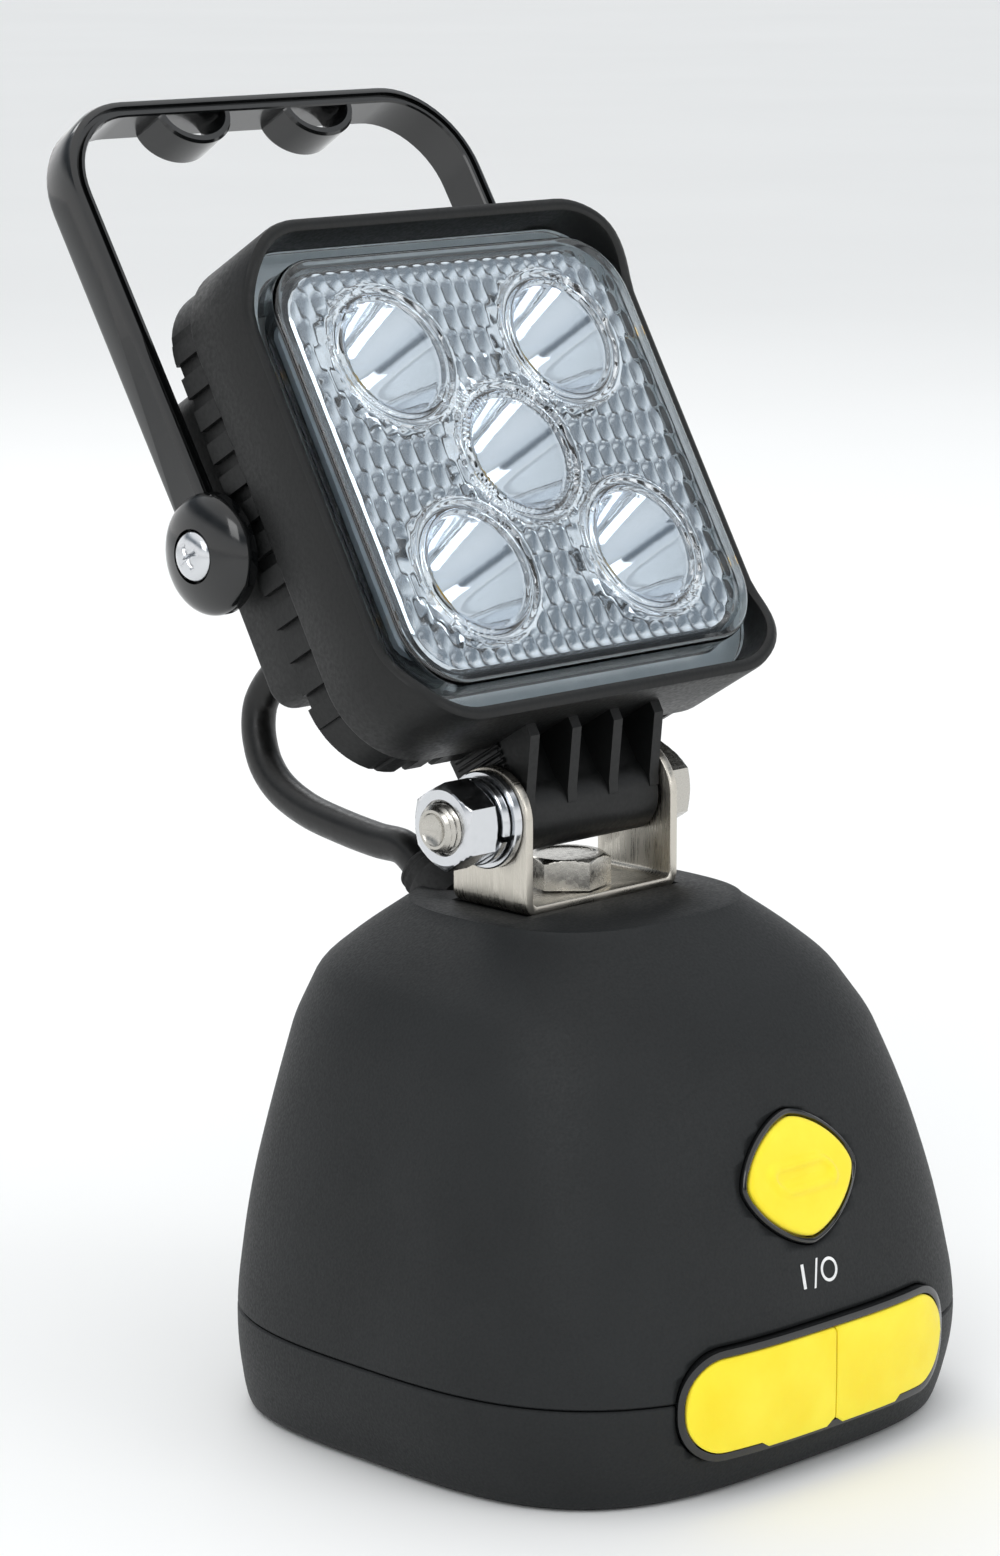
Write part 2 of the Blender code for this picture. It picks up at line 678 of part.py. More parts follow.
def make_sockets(finish):
    back = BOARD_FRONT
    front = front_point(SOCKET_OFFSET + USB_WIDTH / 2, PORT_HEIGHT, -PORT_POCKET).y
    half = CHARGE_SIZE / 2
    place = shifted(along_y, -SOCKET_OFFSET, 0, PORT_HEIGHT)
    charge = prism("charge_socket", rounded_rectangle(half, half, 0.001, 2), back, front, place, finish)
    jack = [(0.0010, front - 0.001), (0.0027, front - 0.001), (0.0027, front + 0.007), (0.0010, front + 0.007)]
    cut(charge, turned("charge_jack", jack, place, sides=20, closed=True, helper=True))
    place = shifted(along_y, SOCKET_OFFSET, 0, PORT_HEIGHT)
    usb = prism("usb_socket", box_outline(-USB_WIDTH / 2, USB_WIDTH / 2, -USB_HEIGHT / 2, USB_HEIGHT / 2), back, front,
                place, finish)
    mouth = [(-0.0060, -0.0010), (0.0060, -0.0010), (0.0060, 0.0023), (-0.0060, 0.0023)]
    cut(usb, prism("usb_mouth", mouth, front - 0.001, front + 0.008, place, helper=True))


def make_switch(finish):
    place = front_frame(BUTTON_HEIGHT)
    tip = place(0, 0, -BEZEL_DEPTH - BUTTON_LIP - BUTTON_TRAVEL - 0.0010)
    shoulder = tip.y + 0.0008
    half = SWITCH_SIZE / 2
    body = shifted(along_y, z=tip.z)
    profile = [(0, tip.y), (0.0016, tip.y), (0.0016, shoulder), (half, shoulder), (half, BOARD_FRONT),
               (0, BOARD_FRONT)]
    turned("power_switch", profile, body, finish, sides=16)


def make_button(finish, bezel_finish):
    place = front_frame(BUTTON_HEIGHT)
    inner = rounded_diamond(GAP)
    outer = rounded_diamond(BEZEL_WIDTH)
    rings = [ring_at(outer, -BEZEL_DEPTH, place), ring_at(outer, BEZEL_PROUD - 0.0004, place),
             ring_at(rounded_diamond(BEZEL_WIDTH - 0.0004), BEZEL_PROUD, place),
             ring_at(inner, BEZEL_PROUD, place), ring_at(inner, -BEZEL_DEPTH, place)]
    loft("button_bezel", rings, bezel_finish, closed=True)
    lip_high = -BEZEL_DEPTH - GAP
    rings = [ring_at(rounded_diamond(BUTTON_LIP), -BEZEL_DEPTH - BUTTON_LIP, place),
             ring_at(rounded_diamond(BUTTON_LIP), lip_high, place),
             ring_at(rounded_diamond(), lip_high, place),
             ring_at(rounded_diamond(), BUTTON_PROUD - 0.0010, place),
             ring_at(rounded_diamond(-0.0006), BUTTON_PROUD - 0.0003, place),
             ring_at(rounded_diamond(-0.0025), BUTTON_PROUD, place)]
    button = loft("power_button", rings, finish)
    set_origin(button, place(0, 0, 0))


def make_ports(bezel_finish, flap_finish):
    end = PORT_HALF_LENGTH + PORT_BEZEL_WIDTH
    height = PORT_BEZEL_HALF_HEIGHT
    radius = height * PORT_ROUNDNESS
    bezel = curved_plate("port_bezel", (-end, end), height, (radius, radius), PORT_BEZEL_PROUD, -PORT_BACK,
                         bezel_finish)
    half = PORT_HALF_HEIGHT
    radius = half * PORT_ROUNDNESS
    pocket = curved_plate("port_pocket", (-PORT_HALF_LENGTH, PORT_HALF_LENGTH), half, (radius, radius), 0.004,
                          -PORT_POCKET, helper=True)
    cut(bezel, pocket)
    for name, x, half_width, half_height in (
            ("charge_window", -SOCKET_OFFSET, CHARGE_SIZE / 2 + GAP, CHARGE_SIZE / 2 + GAP),
            ("usb_window", SOCKET_OFFSET, USB_WIDTH / 2 + GAP, USB_HEIGHT / 2 + GAP)):
        window = box_outline(x - half_width, x + half_width, -half_height, half_height)
        cut(bezel, prism(name, window, -BASE_DEPTH / 2 - 0.004, BOARD_Y - 0.001, shifted(along_y, z=PORT_HEIGHT),
                         helper=True))
    flap_half = half - GAP
    flap_radius = flap_half * PORT_ROUNDNESS
    left = -PORT_HALF_LENGTH + GAP
    right = PORT_HALF_LENGTH - GAP
    for name, ends, radii in (
            ("charge_flap", (left, FLAP_SPLIT - FLAP_SPLIT_GAP / 2), (flap_radius, 0.0006)),
            ("usb_flap", (FLAP_SPLIT + FLAP_SPLIT_GAP / 2, right), (0.0006, flap_radius))):
        flap = curved_plate(name, ends, flap_half, radii, FLAP_PROUD, FLAP_BACK, flap_finish, taper=FLAP_TAPER)
        hinge_x = ends[1] if name == "charge_flap" else ends[0]
        set_origin(flap, front_point(hinge_x, PORT_HEIGHT, FLAP_PROUD))


def set_origin(obj, point):
    """Moves an object's origin, and so its joint's axis, without moving its shape."""
    obj.data.transform(Matrix.Translation(-Vector(point)))
    obj.location = point


# ---------------------------------------------------------------- bracket and bolts

def pivot_point():
    return Vector((0, BRACKET_Y, BRACKET_FLOOR + PIVOT_HEIGHT))


def make_bracket(finish):
    half = BRACKET_WIDTH / 2
    low = BRACKET_FLOOR
    high = pivot_point().z + BRACKET_DEPTH / 2
    inner = half - BRACKET_SHEET
    bend = BRACKET_BEND
    inner_bend = bend - BRACKET_SHEET + 0.0003
    outline = [(-half, high), *arc(-half + bend, low + bend, bend, 180, 270, 4),
               *arc(half - bend, low + bend, bend, 270, 360, 4), (half, high), (inner, high),
               *arc(inner - inner_bend, low + BRACKET_SHEET + inner_bend, inner_bend, 0, -90, 2),
               *arc(-inner + inner_bend, low + BRACKET_SHEET + inner_bend, inner_bend, 270, 180, 2), (-inner, high)]
    place = shifted(along_y, y=BRACKET_Y)
    bracket = prism("bracket", outline, -BRACKET_DEPTH / 2, BRACKET_DEPTH / 2, place, finish)
    trim = [(-BRACKET_DEPTH, 0), *arc(0, 0, BRACKET_DEPTH / 2, 180, 0, 14), (BRACKET_DEPTH, 0),
            (BRACKET_DEPTH, BRACKET_DEPTH), (-BRACKET_DEPTH, BRACKET_DEPTH)]
    ears = shifted(along_x, y=BRACKET_Y, z=pivot_point().z)
    cut(bracket, prism("ear_trim", trim, -half - 0.002, half + 0.002, ears, helper=True))
    bore = circle((BOLT_DIAMETER + BOLT_CLEARANCE) / 2, sides=24)
    cut(bracket, prism("ear_bore", bore, -half - 0.003, half + 0.003, ears, helper=True))
    floor_bore = circle((BOLT_DIAMETER + BOLT_CLEARANCE) / 2, 0, BRACKET_Y, 24)
    cut(bracket, prism("floor_bore", floor_bore, low - 0.002, low + BRACKET_SHEET + 0.002, along_z, helper=True))


def hex_bolt(name, head_low, shank_end, turn, place, finish):
    """A hexagon bolt along place's third axis: the head from head_low on, and the shank back to shank_end."""
    bolt = prism(name, hexagon(HEX_FLATS, turn), head_low, head_low + HEX_HEAD_HEIGHT, place, finish)
    tip = shank_end + 0.001
    overlap = head_low + 0.002
    profile = [(0, overlap), (BOLT_DIAMETER / 2, overlap), (BOLT_DIAMETER / 2, tip),
               (BOLT_DIAMETER / 2 - 0.001, shank_end), (0, shank_end)]
    join(bolt, turned(f"{name}_shank", profile, place, sides=24, helper=True))


def hex_nut(name, low, high, turn, place, finish):
    nut = prism(name, hexagon(HEX_FLATS, turn), low, high, place, finish)
    bore = circle(BOLT_DIAMETER / 2 + GAP, sides=24)
    cut(nut, prism(f"{name}_bore", bore, low - 0.002, high + 0.002, place, helper=True))


def make_tilt_bolt(finish, bright):
    place = shifted(along_x, y=BRACKET_Y, z=pivot_point().z)
    bore = BOLT_DIAMETER + 2 * GAP
    face = BRACKET_WIDTH / 2 + GAP
    washer("pivot_washer_flat", bore, WASHER_DIAMETER, -face - WASHER_THICKNESS, -face, place, bright)
    spring = -face - WASHER_THICKNESS - GAP
    washer("pivot_washer_spring", bore, SPRING_WASHER_DIAMETER, spring - SPRING_WASHER_THICKNESS, spring, place, bright)
    nut = spring - SPRING_WASHER_THICKNESS - GAP
    hex_nut("pivot_nut", nut - NUT_HEIGHT, nut, 0, place, bright)
    hex_bolt("pivot_bolt", face, nut - NUT_HEIGHT - BOLT_TIP, 0, place, finish)


def make_base_bolt(finish, bright):
    place = shifted(along_z, y=BRACKET_Y)
    seat = BRACKET_FLOOR + BRACKET_SHEET + GAP
    ceiling = BASE_HEIGHT - BASE_WALL - GAP
    bore = BOLT_DIAMETER + 2 * GAP
    washer("base_washer", bore, BASE_WASHER_DIAMETER, ceiling - WASHER_THICKNESS, ceiling, place, bright)
    nut = ceiling - WASHER_THICKNESS - GAP
    hex_nut("base_nut", nut - NUT_HEIGHT, nut, BASE_BOLT_TURN, place, bright)
    hex_bolt("base_bolt", seat, nut - NUT_HEIGHT - BOLT_TIP, BASE_BOLT_TURN, place, finish)


# ---------------------------------------------------------------- lamp head

def head_place(u, v, w):
    """u along the bolt, v up from the lamp's middle and w back from the hood's plane, in the head's frame."""
    return Vector((u, w - HEAD_FORWARD, v + HEAD_RISE))


def rim_depth(v):
    """The rim's edge is scooped back along the lamp's sides, between the top and bottom hoods."""
    reach = abs(v) / HEAD_HALF
    share = min(max((reach - 0.60) / 0.34, 0.0), 1.0)
    return RIM_SCOOP * (1 - share * share * (3 - 2 * share))


def rim_outline(half, radius):
    """A rounded square with extra points along its sides, where the rim's edge bends."""
    corner = rounded_rectangle(half, half, radius, 6)
    outline = []
    for index, point in enumerate(corner):
        outline.append(point)
        after = corner[(index + 1) % len(corner)]
        if math.dist(point, after) > half:
            for share in (0.06, 0.2, 0.5, 0.8, 0.94):
                outline.append((point[0] + (after[0] - point[0]) * share, point[1] + (after[1] - point[1]) * share))
    return outline


def make_head_housing(finish, parent):
    outer = rim_outline(HEAD_HALF, HEAD_CORNER)
    inner = rim_outline(RECESS_HALF, HEAD_CORNER - RIM_WALL)
    cavity = rim_outline(CAVITY_HALF, HEAD_CORNER - 2 * RIM_WALL)
    body = rim_outline(BODY_HALF, HEAD_CORNER - BODY_STEP)
    rings = [
        ring_at(body, BODY_DEPTH, head_place),
        ring_at(body, BAND_DEPTH, head_place),
        ring_at(outer, BAND_DEPTH, head_place),
        [head_place(u, v, rim_depth(v) + 0.0008) for u, v in outer],
        [head_place(u * 0.988, v * 0.988, rim_depth(v)) for u, v in outer],
        [head_place(u, v, rim_depth(v)) for u, v in inner],
        ring_at(inner, LENS_LEDGE, head_place),
        ring_at(cavity, LENS_LEDGE, head_place),
        ring_at(cavity, CAVITY_FLOOR, head_place),
    ]
    housing = loft("head_housing", rings, finish, parent)
    box = rounded_rectangle(BOX_HALF_WIDTH, BOX_HALF_HEIGHT, 0.005, 3)
    join(housing, prism("rear_box", box, BODY_DEPTH - 0.003, BOX_DEPTH, head_place, parent=parent, helper=True))
    fins = []
    reach = HEAD_HALF - FIN_END_INSET
    for x in row_of(FIN_PITCH, HEAD_HALF - FIN_MARGIN):
        outline = box_outline(x - FIN_THICKNESS / 2, x + FIN_THICKNESS / 2, -reach, reach)
        fins.append((outline, BODY_DEPTH - 0.002, FIN_DEPTH))
    join(housing, prisms("rear_fins", fins, head_place, parent))
    join(housing, make_lug_body(parent))
    join(housing, make_lug_ribs(parent))
    cut(housing, make_tooth_grooves(parent))
    driver = box_outline(-DRIVER_HALF_WIDTH, DRIVER_HALF_WIDTH, -DRIVER_HALF_HEIGHT, DRIVER_HALF_HEIGHT)
    cut(housing, prism("driver_cavity", driver, CAVITY_FLOOR - 0.001, DRIVER_DEPTH, head_place, parent=parent,
                       helper=True))
    gland = circle(GLAND_SHANK + GAP, 0, -GLAND_DROP, 24)
    cut(housing, prism("head_gland_hole", gland, DRIVER_DEPTH - 0.002, BOX_DEPTH + 0.002, head_place,
                       parent=parent, helper=True))
    bore = circle((BOLT_DIAMETER + BOLT_CLEARANCE) / 2, sides=24)
    cut(housing, prism("lug_bore", bore, -LUG_HALF_WIDTH - 0.002, LUG_HALF_WIDTH + 0.002, along_x, parent=parent,
                       helper=True))
    screw = circle(HANDLE_SCREW_DIAMETER / 2 + GAP, HANDLE_DEPTH - HEAD_FORWARD, HEAD_RISE, 16)
    holes = [(screw, side * (screw_end() - 0.001), side * (BOX_HALF_WIDTH + 0.001)) for side in (-1, 1)]
    cut(housing, prisms("handle_screw_holes", holes, along_x, parent))


def row_of(pitch, half):
    """Evenly spaced places about the middle that fit within half on each side."""
    count = 1 + int(2 * half / pitch)
    return [(index - (count - 1) / 2) * pitch for index in range(count)]


def screw_end():
    return BOX_HALF_WIDTH - HANDLE_SCREW_GRIP


def lug_top():
    return LUG_HEIGHT + 0.002


def make_lug_body(parent):
    """Boss round the bolt and the web that joins it to the underside of the head."""
    outline = [*arc(0, 0, LUG_RADIUS, 150, 390, 16), (LUG_BACK + 0.001, lug_top()), (-LUG_WEB_FRONT, lug_top())]
    return prism("lug_body", outline, -LUG_HALF_WIDTH, LUG_HALF_WIDTH, along_x, parent=parent, helper=True)


def make_lug_ribs(parent):
    outline = [(-LUG_WEB_FRONT + 0.001, RIB_TIP), (-LUG_RADIUS, RIB_TIP), (-RIB_FRONT, lug_top() - 0.0045),
               (-RIB_FRONT, lug_top()), (-LUG_WEB_FRONT + 0.001, lug_top())]
    ribs = []
    for index in range(RIB_COUNT):
        pitch = (2 * LUG_HALF_WIDTH - RIB_THICKNESS) / (RIB_COUNT - 1)
        x = -LUG_HALF_WIDTH + RIB_THICKNESS / 2 + pitch * index
        ribs.append((outline, x - RIB_THICKNESS / 2 + 0.0001, x + RIB_THICKNESS / 2 - 0.0001))
    return prisms("lug_ribs", ribs, along_x, parent)


def make_tooth_grooves(parent):
    """Short grooves round the edge of the finned body, open at the back."""
    blocks = []
    edge = BODY_HALF
    depth = TOOTH_GROOVE_DEPTH
    for middle in row_of(TOOTH_PITCH, HEAD_HALF - TOOTH_MARGIN):
        low = middle - TOOTH_GROOVE / 2
        high = middle + TOOTH_GROOVE / 2
        for side in (-1, 1):
            near, far = sorted((side * (edge - depth), side * (edge + 0.002)))
            blocks.append((box_outline(near, far, low, high), BAND_DEPTH + 0.001, BODY_DEPTH + 0.001))
            if side > 0 or abs(middle) > LUG_HALF_WIDTH + TOOTH_GROOVE:
                blocks.append((box_outline(low, high, near, far), BAND_DEPTH + 0.001, BODY_DEPTH + 0.001))
    return prisms("tooth_grooves", blocks, head_place, parent)


def make_lens(finish, parent):
    outer = rounded_rectangle(LENS_HALF_WIDTH, LENS_HALF_HEIGHT, LENS_CORNER)
    front = rounded_rectangle(LENS_HALF_WIDTH - 0.001, LENS_HALF_HEIGHT - 0.001, LENS_CORNER - 0.001)
    flange = rounded_rectangle(LENS_FLANGE_HALF, LENS_FLANGE_HALF, LENS_CORNER)
    inner = rounded_rectangle(LENS_HALF_WIDTH - LENS_WALL, LENS_HALF_HEIGHT - LENS_WALL, LENS_CORNER - LENS_WALL)
    back = LENS_FLANGE_BACK
    rings = [ring_at(front, LENS_FRONT, head_place), ring_at(outer, LENS_FRONT + 0.001, head_place),
             ring_at(outer, LENS_FLANGE_FRONT, head_place), ring_at(flange, LENS_FLANGE_FRONT, head_place),
             ring_at(flange, back, head_place), ring_at(inner, back, head_place),
             ring_at(inner, LENS_FRONT + LENS_WALL, head_place)]
    loft("lens", rings, finish, parent)


def make_lens_seal(finish, parent):
    outer = rounded_rectangle(LENS_FLANGE_HALF, LENS_FLANGE_HALF, LENS_CORNER)
    inner = rounded_rectangle(CAVITY_HALF + 0.001, CAVITY_HALF + 0.001, LENS_CORNER - 0.004)
    front = LENS_FLANGE_BACK + GAP
    back = front + SEAL_THICKNESS
    rings = [ring_at(outer, front, head_place), ring_at(outer, back, head_place), ring_at(inner, back, head_place),
             ring_at(inner, front, head_place)]
    loft("lens_seal", rings, finish, parent, closed=True)


def cup_places():
    off = CUP_OFFSET
    return [(-off, off), (off, off), (0.0, 0.0), (-off, -off), (off, -off)]


def cup_place(u, v):
    return lambda a, b, w: head_place(u + a, v + b, w)


def make_reflector(finish, parent):
    half_width = min(LENS_HALF_WIDTH - LENS_WALL, CAVITY_HALF) - 0.001
    half_height = min(LENS_HALF_HEIGHT - LENS_WALL, CAVITY_HALF) - 0.001
    outline = rounded_rectangle(half_width, half_height, LENS_CORNER - LENS_WALL - 0.001)
    plate = prism("reflector_plate", outline, REFLECTOR_FRONT, REFLECTOR_FRONT + REFLECTOR_PLATE, head_place, finish,
                  parent)
    cones = bmesh.new()
    bores = bmesh.new()
    for u, v in cup_places():
        place = cup_place(u, v)
        start = REFLECTOR_FRONT + REFLECTOR_PLATE / 2
        cone = [(0, start), (CUP_RADIUS, start), (CUP_HOLE + CUP_WALL, REFLECTOR_BACK), (0, REFLECTOR_BACK)]
        add_turned(cones, cone, place, 24, False)
        bore = [(0, REFLECTOR_FRONT - 0.001), (CUP_RADIUS - CUP_WALL + 0.0004, REFLECTOR_FRONT - 0.001),
                (CUP_HOLE, REFLECTOR_BACK + 0.0002), (0, REFLECTOR_BACK + 0.0002)]
        add_turned(bores, bore, place, 24, False)
    join(plate, finish_mesh("cup_cones", cones, None, parent, helper=True))
    cut(plate, finish_mesh("cup_bores", bores, None, parent, helper=True))


def make_light_board(board_finish, led_finish, parent):
    half = CAVITY_HALF - LED_BOARD_GAP
    prism("led_board", rounded_rectangle(half, half, 0.009, 4), LED_BOARD_FRONT, LED_BOARD_FRONT + LED_BOARD_THICKNESS,
          head_place, board_finish, parent)
    back = LED_BOARD_FRONT - GAP
    for index, (u, v) in enumerate(cup_places(), start=1):
        profile = [(0, back), (0.0034, back), (0.0034, back - 0.0009), (0.0022, back - 0.0009),
                   (0.0018, back - 0.0017), (0, back - LED_HEIGHT)]
        turned(f"led_emitter_{index}", profile, cup_place(u, v), led_finish, parent, sides=16)


def make_driver(finish, parent):
    half_width = DRIVER_HALF_WIDTH - 0.003
    half_height = DRIVER_HALF_HEIGHT - 0.003
    front = CAVITY_FLOOR + 0.003
    board = prism("led_driver", box_outline(-half_width, half_width, -half_height, half_height), front, front + 0.0016,
                  head_place, finish, parent)
    back = DRIVER_DEPTH - 0.0015
    coil = circle(0.006, -0.018, half_height - 0.008, 16)
    blocks = [(coil, front + 0.001, back),
              (box_outline(-0.004, 0.010, half_height - 0.014, half_height - 0.002), front + 0.001, back - 0.003),
              (box_outline(0.018, 0.028, -0.004, half_height - 0.002), front + 0.001, back - 0.005)]
    join(board, prisms("driver_parts", blocks, head_place, parent))


def make_head_gland(finish, parent):
    place = cup_place(0, -GLAND_DROP)
    inner = DRIVER_DEPTH - GAP
    outer = BOX_DEPTH + GAP
    face = BOX_DEPTH + GLAND_LENGTH
    profile = [(0, inner - 0.003), (GLAND_RADIUS, inner - 0.003), (GLAND_RADIUS, inner), (GLAND_SHANK, inner),
               (GLAND_SHANK, outer), (GLAND_RADIUS, outer), (GLAND_RADIUS, face - 0.003),
               (CABLE_DIAMETER / 2 + 0.0009, face), (0, face)]
    turned("head_cable_gland", profile, place, finish, parent, sides=24)


# ---------------------------------------------------------------- handle

def handle_place(u, v, w):
    """u along X and v away from the handle's screws; w back. The handle's own frame has its origin on its screws."""
    return Vector((u, w, v))


def make_handle(finish, parent):
    half = STRAP_OUTER
    strap = HANDLE_STRAP
    outer_corner = HANDLE_CORNER
    inner_corner = outer_corner - strap
    top = HANDLE_TOP
    outline = [(-half, 0.0), *arc(-half + outer_corner, top - outer_corner, outer_corner, 180, 90, 8),
               *arc(half - outer_corner, top - outer_corner, outer_corner, 90, 0, 8), (half, 0.0),
               (half - strap, 0.0), *arc(half - outer_corner, top - outer_corner, inner_corner, 0, 90, 8),
               *arc(-half + outer_corner, top - outer_corner, inner_corner, 90, 180, 8), (-half + strap, 0.0)]
    width = HANDLE_STRAP_WIDTH / 2
    handle = prism("handle", outline, -width, width, handle_place, finish, parent)
    for side, word in ((-1, "left"), (1, "right")):
        profile = [(0, side * HUB_FACE), (BUSH_RADIUS, side * HUB_FACE), (BUSH_RADIUS, side * BOSS_FACE),
                   (BOSS_RADIUS, side * BOSS_FACE), (BOSS_RADIUS, side * (BOSS_FACE + BOSS_RIM)),
                   (BOSS_RADIUS * 0.93, side * (BOSS_FACE + 2 * BOSS_RIM)),
                   (BOSS_RADIUS * 0.72, side * (BOSS_APEX - 0.0010)),
                   (BOSS_RADIUS * 0.50, side * BOSS_APEX), (0, side * BOSS_APEX)]
        join(handle, turned(f"boss_{word}", profile, along_x, parent=parent, sides=28, helper=True))
    rings = []
    for side in (-1, 1):
        middle = side * RING_OFFSET
        root = top - strap + 0.001
        drop = RING_DROP + 0.001
        outer = half_ellipse(middle, root, RING_HALF_WIDTH, drop, 12)
        inner = half_ellipse(middle, root, RING_HALF_WIDTH - RING_WALL, drop - RING_WALL, 12)
        rings.append((outer + inner[::-1], -width + 0.0003, width - 0.0003))
    join(handle, prisms("finger_rings", rings, handle_place, parent))
    for side, word in ((-1, "left"), (1, "right")):
        radius = HANDLE_SCREW_DIAMETER / 2 + GAP
        head = HANDLE_SCREW_HEAD / 2 + GAP
        profile = [(0, side * (HUB_FACE - 0.002)), (radius, side * (HUB_FACE - 0.002)),
                   (radius, side * SCREW_SEAT), (head, side * SCREW_SEAT),
                   (head, side * (BOSS_APEX + 0.002)), (0, side * (BOSS_APEX + 0.002))]
        cut(handle, turned(f"boss_bore_{word}", profile, along_x, parent=parent, sides=20, helper=True))


def half_ellipse(centre_u, centre_v, half_width, drop, steps):
    points = []
    for step in range(steps + 1):
        angle = math.pi + math.pi * step / steps
        points.append((centre_u + half_width * math.cos(angle), centre_v + drop * math.sin(angle)))
    return points


def make_handle_fixings(screw_finish, bush_finish, parent):
    for side, word in ((-1, "left"), (1, "right")):
        near = side * (BOX_HALF_WIDTH + GAP)
        washer(f"handle_bush_{word}", HANDLE_SCREW_DIAMETER + 2 * GAP, BUSH_RADIUS * 2, near,
               near + side * BUSH_THICKNESS, along_x, bush_finish, parent, sides=24)
        radius = HANDLE_SCREW_DIAMETER / 2
        head = HANDLE_SCREW_HEAD / 2
        seat = SCREW_SEAT + GAP
        profile = [(0, side * screw_end()), (radius, side * screw_end()), (radius, side * seat),
                   (head, side * seat), (head, side * (seat + 0.0010)), (head * 0.8, side * (seat + 0.0023)),
                   (head * 0.45, side * (seat + 0.0029)), (0, side * (seat + 0.0030))]
        turned(f"handle_screw_{word}", profile, along_x, screw_finish, parent, sides=20)


# ---------------------------------------------------------------- cable

def base_gland_frame():
    """Place function whose third axis points out of the base along the cable's way in."""
    out = Vector((0, math.cos(BASE_GLAND_LEAN), math.sin(BASE_GLAND_LEAN)))
    side = Vector((1, 0, 0))
    up = out.cross(side)
    face = Vector((BASE_GLAND_SIDE, BASE_DEPTH / 2 - BASE_GLAND_INSET, BASE_HEIGHT + BASE_GLAND_RISE))
    return lambda u, v, w: face + side * u + up * v + out * w


def make_base_gland(finish):
    length = BASE_GLAND_LENGTH
    profile = [(0, -length), (BASE_GLAND_RADIUS, -length), (BASE_GLAND_RADIUS, -length * 0.35), (BASE_GLAND_NOSE, 0),
               (0, 0)]
    turned("base_cable_gland", profile, base_gland_frame(), finish, sides=24)


def head_to_world(point):
    turn = Matrix.Rotation(-TILT, 4, "X")
    return pivot_point() + (turn @ Vector(point))


def smooth_route(points, steps):
    """Points read from a Catmull-Rom curve through the route's own points."""
    padded = [points[0] * 2 - points[1], *points, points[-1] * 2 - points[-2]]
    route = []
    for a, b, c, d in zip(padded, padded[1:], padded[2:], padded[3:]):
        for step in range(steps):
            t = step / steps
            route.append(0.5 * ((2 * b) + (c - a) * t + (2 * a - 5 * b + 4 * c - d) * t * t
                                + (3 * b - a - 3 * c + d) * t * t * t))
    route.append(points[-1])
    return route


def make_cable(finish):
    face = BOX_DEPTH + GLAND_LENGTH
    start = head_to_world(head_place(0, -GLAND_DROP, face + GAP))
    straight = head_to_world(head_place(0, -GLAND_DROP, face + 0.009))
    place = base_gland_frame()
    points = [start, straight, *map(Vector, CABLE_ROUTE), place(0, 0, 0.0060), place(0, 0, GAP)]
    route = smooth_route(points, CABLE_STEPS)
    curve = bpy.data.curves.new("lamp_cable", "CURVE")
    curve.dimensions = "3D"
    curve.bevel_depth = CABLE_DIAMETER / 2
    curve.bevel_resolution = 3
    curve.use_fill_caps = True
    spline = curve.splines.new("POLY")
    spline.points.add(len(route) - 1)
    for target, point in zip(spline.points, route):
        target.co = (*point, 1.0)
    curve.materials.append(finish)
    obj = bpy.data.objects.new("lamp_cable", curve)
    bpy.context.scene.collection.objects.link(obj)


# ---------------------------------------------------------------- assembly

def make_empty(name, location, parent=None, turn=0.0):
    empty = bpy.data.objects.new(name, None)
    bpy.context.scene.collection.objects.link(empty)
    empty.location = location
    empty.rotation_euler = (turn, 0, 0)
    empty.parent = parent
    return empty


def main():
    clear_scene()
    soft_black = material("soft_touch_black", (44, 46, 47), 0.62)
    gloss_black = material("gloss_black_plastic", (16, 17, 18), 0.22)
    cast_black = material("black_powder_coat", (24, 25, 26), 0.55)
    rubber_black = material("black_rubber", (20, 20, 21), 0.75)
    yellow = material("yellow_silicone", (250, 226, 20), 0.55)
    stainless = material("stainless_steel", (176, 174, 168), 0.28, 1.0)
    zinc = material("bright_zinc_steel", (190, 190, 192), 0.22, 1.0)
    clear = material("clear_polycarbonate", (222, 230, 234), 0.08)
    chrome = material("vacuum_chrome", (225, 228, 232), 0.10, 1.0)
    board_green = material("circuit_board", (28, 92, 58), 0.50)
    board_white = material("white_led_board", (220, 222, 218), 0.50)
    phosphor = material("led_phosphor", (236, 214, 120), 0.40)
    cell_blue = material("battery_sleeve", (40, 84, 140), 0.45)
    magnet_plate = material("nickel_magnet", (168, 168, 166), 0.30, 1.0)

    make_base_shell(soft_black)
    make_base_tray(soft_black)
    make_tray_screws(zinc)
    make_magnets(magnet_plate)
    make_cells(gloss_black, cell_blue)
    make_control_board(board_green)
    make_sockets(gloss_black)
    make_switch(gloss_black)
    make_button(yellow, gloss_black)
    make_ports(gloss_black, yellow)
    make_bracket(stainless)
    make_tilt_bolt(stainless, zinc)
    make_base_bolt(stainless, zinc)
    make_base_gland(rubber_black)

    head = make_empty("head_pivot", pivot_point(), turn=-TILT)
    make_head_housing(cast_black, head)
    make_lens(clear, head)
    make_lens_seal(rubber_black, head)
    make_reflector(chrome, head)
    make_light_board(board_white, phosphor, head)
    make_driver(board_green, head)
    make_head_gland(gloss_black, head)
    handle_axis = Vector((0, HANDLE_DEPTH - HEAD_FORWARD, HEAD_RISE))
    swing = make_empty("handle_pivot", handle_axis, head, -HANDLE_LEAN)
    make_handle(gloss_black, swing)
    make_handle_fixings(zinc, rubber_black, swing)
    make_cable(rubber_black)


main()
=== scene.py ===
"""A rechargeable LED work light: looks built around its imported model, in metres, +Z up, lamp facing -Y."""

import json
import math

import bmesh
import bpy
from mathutils import Matrix, Vector


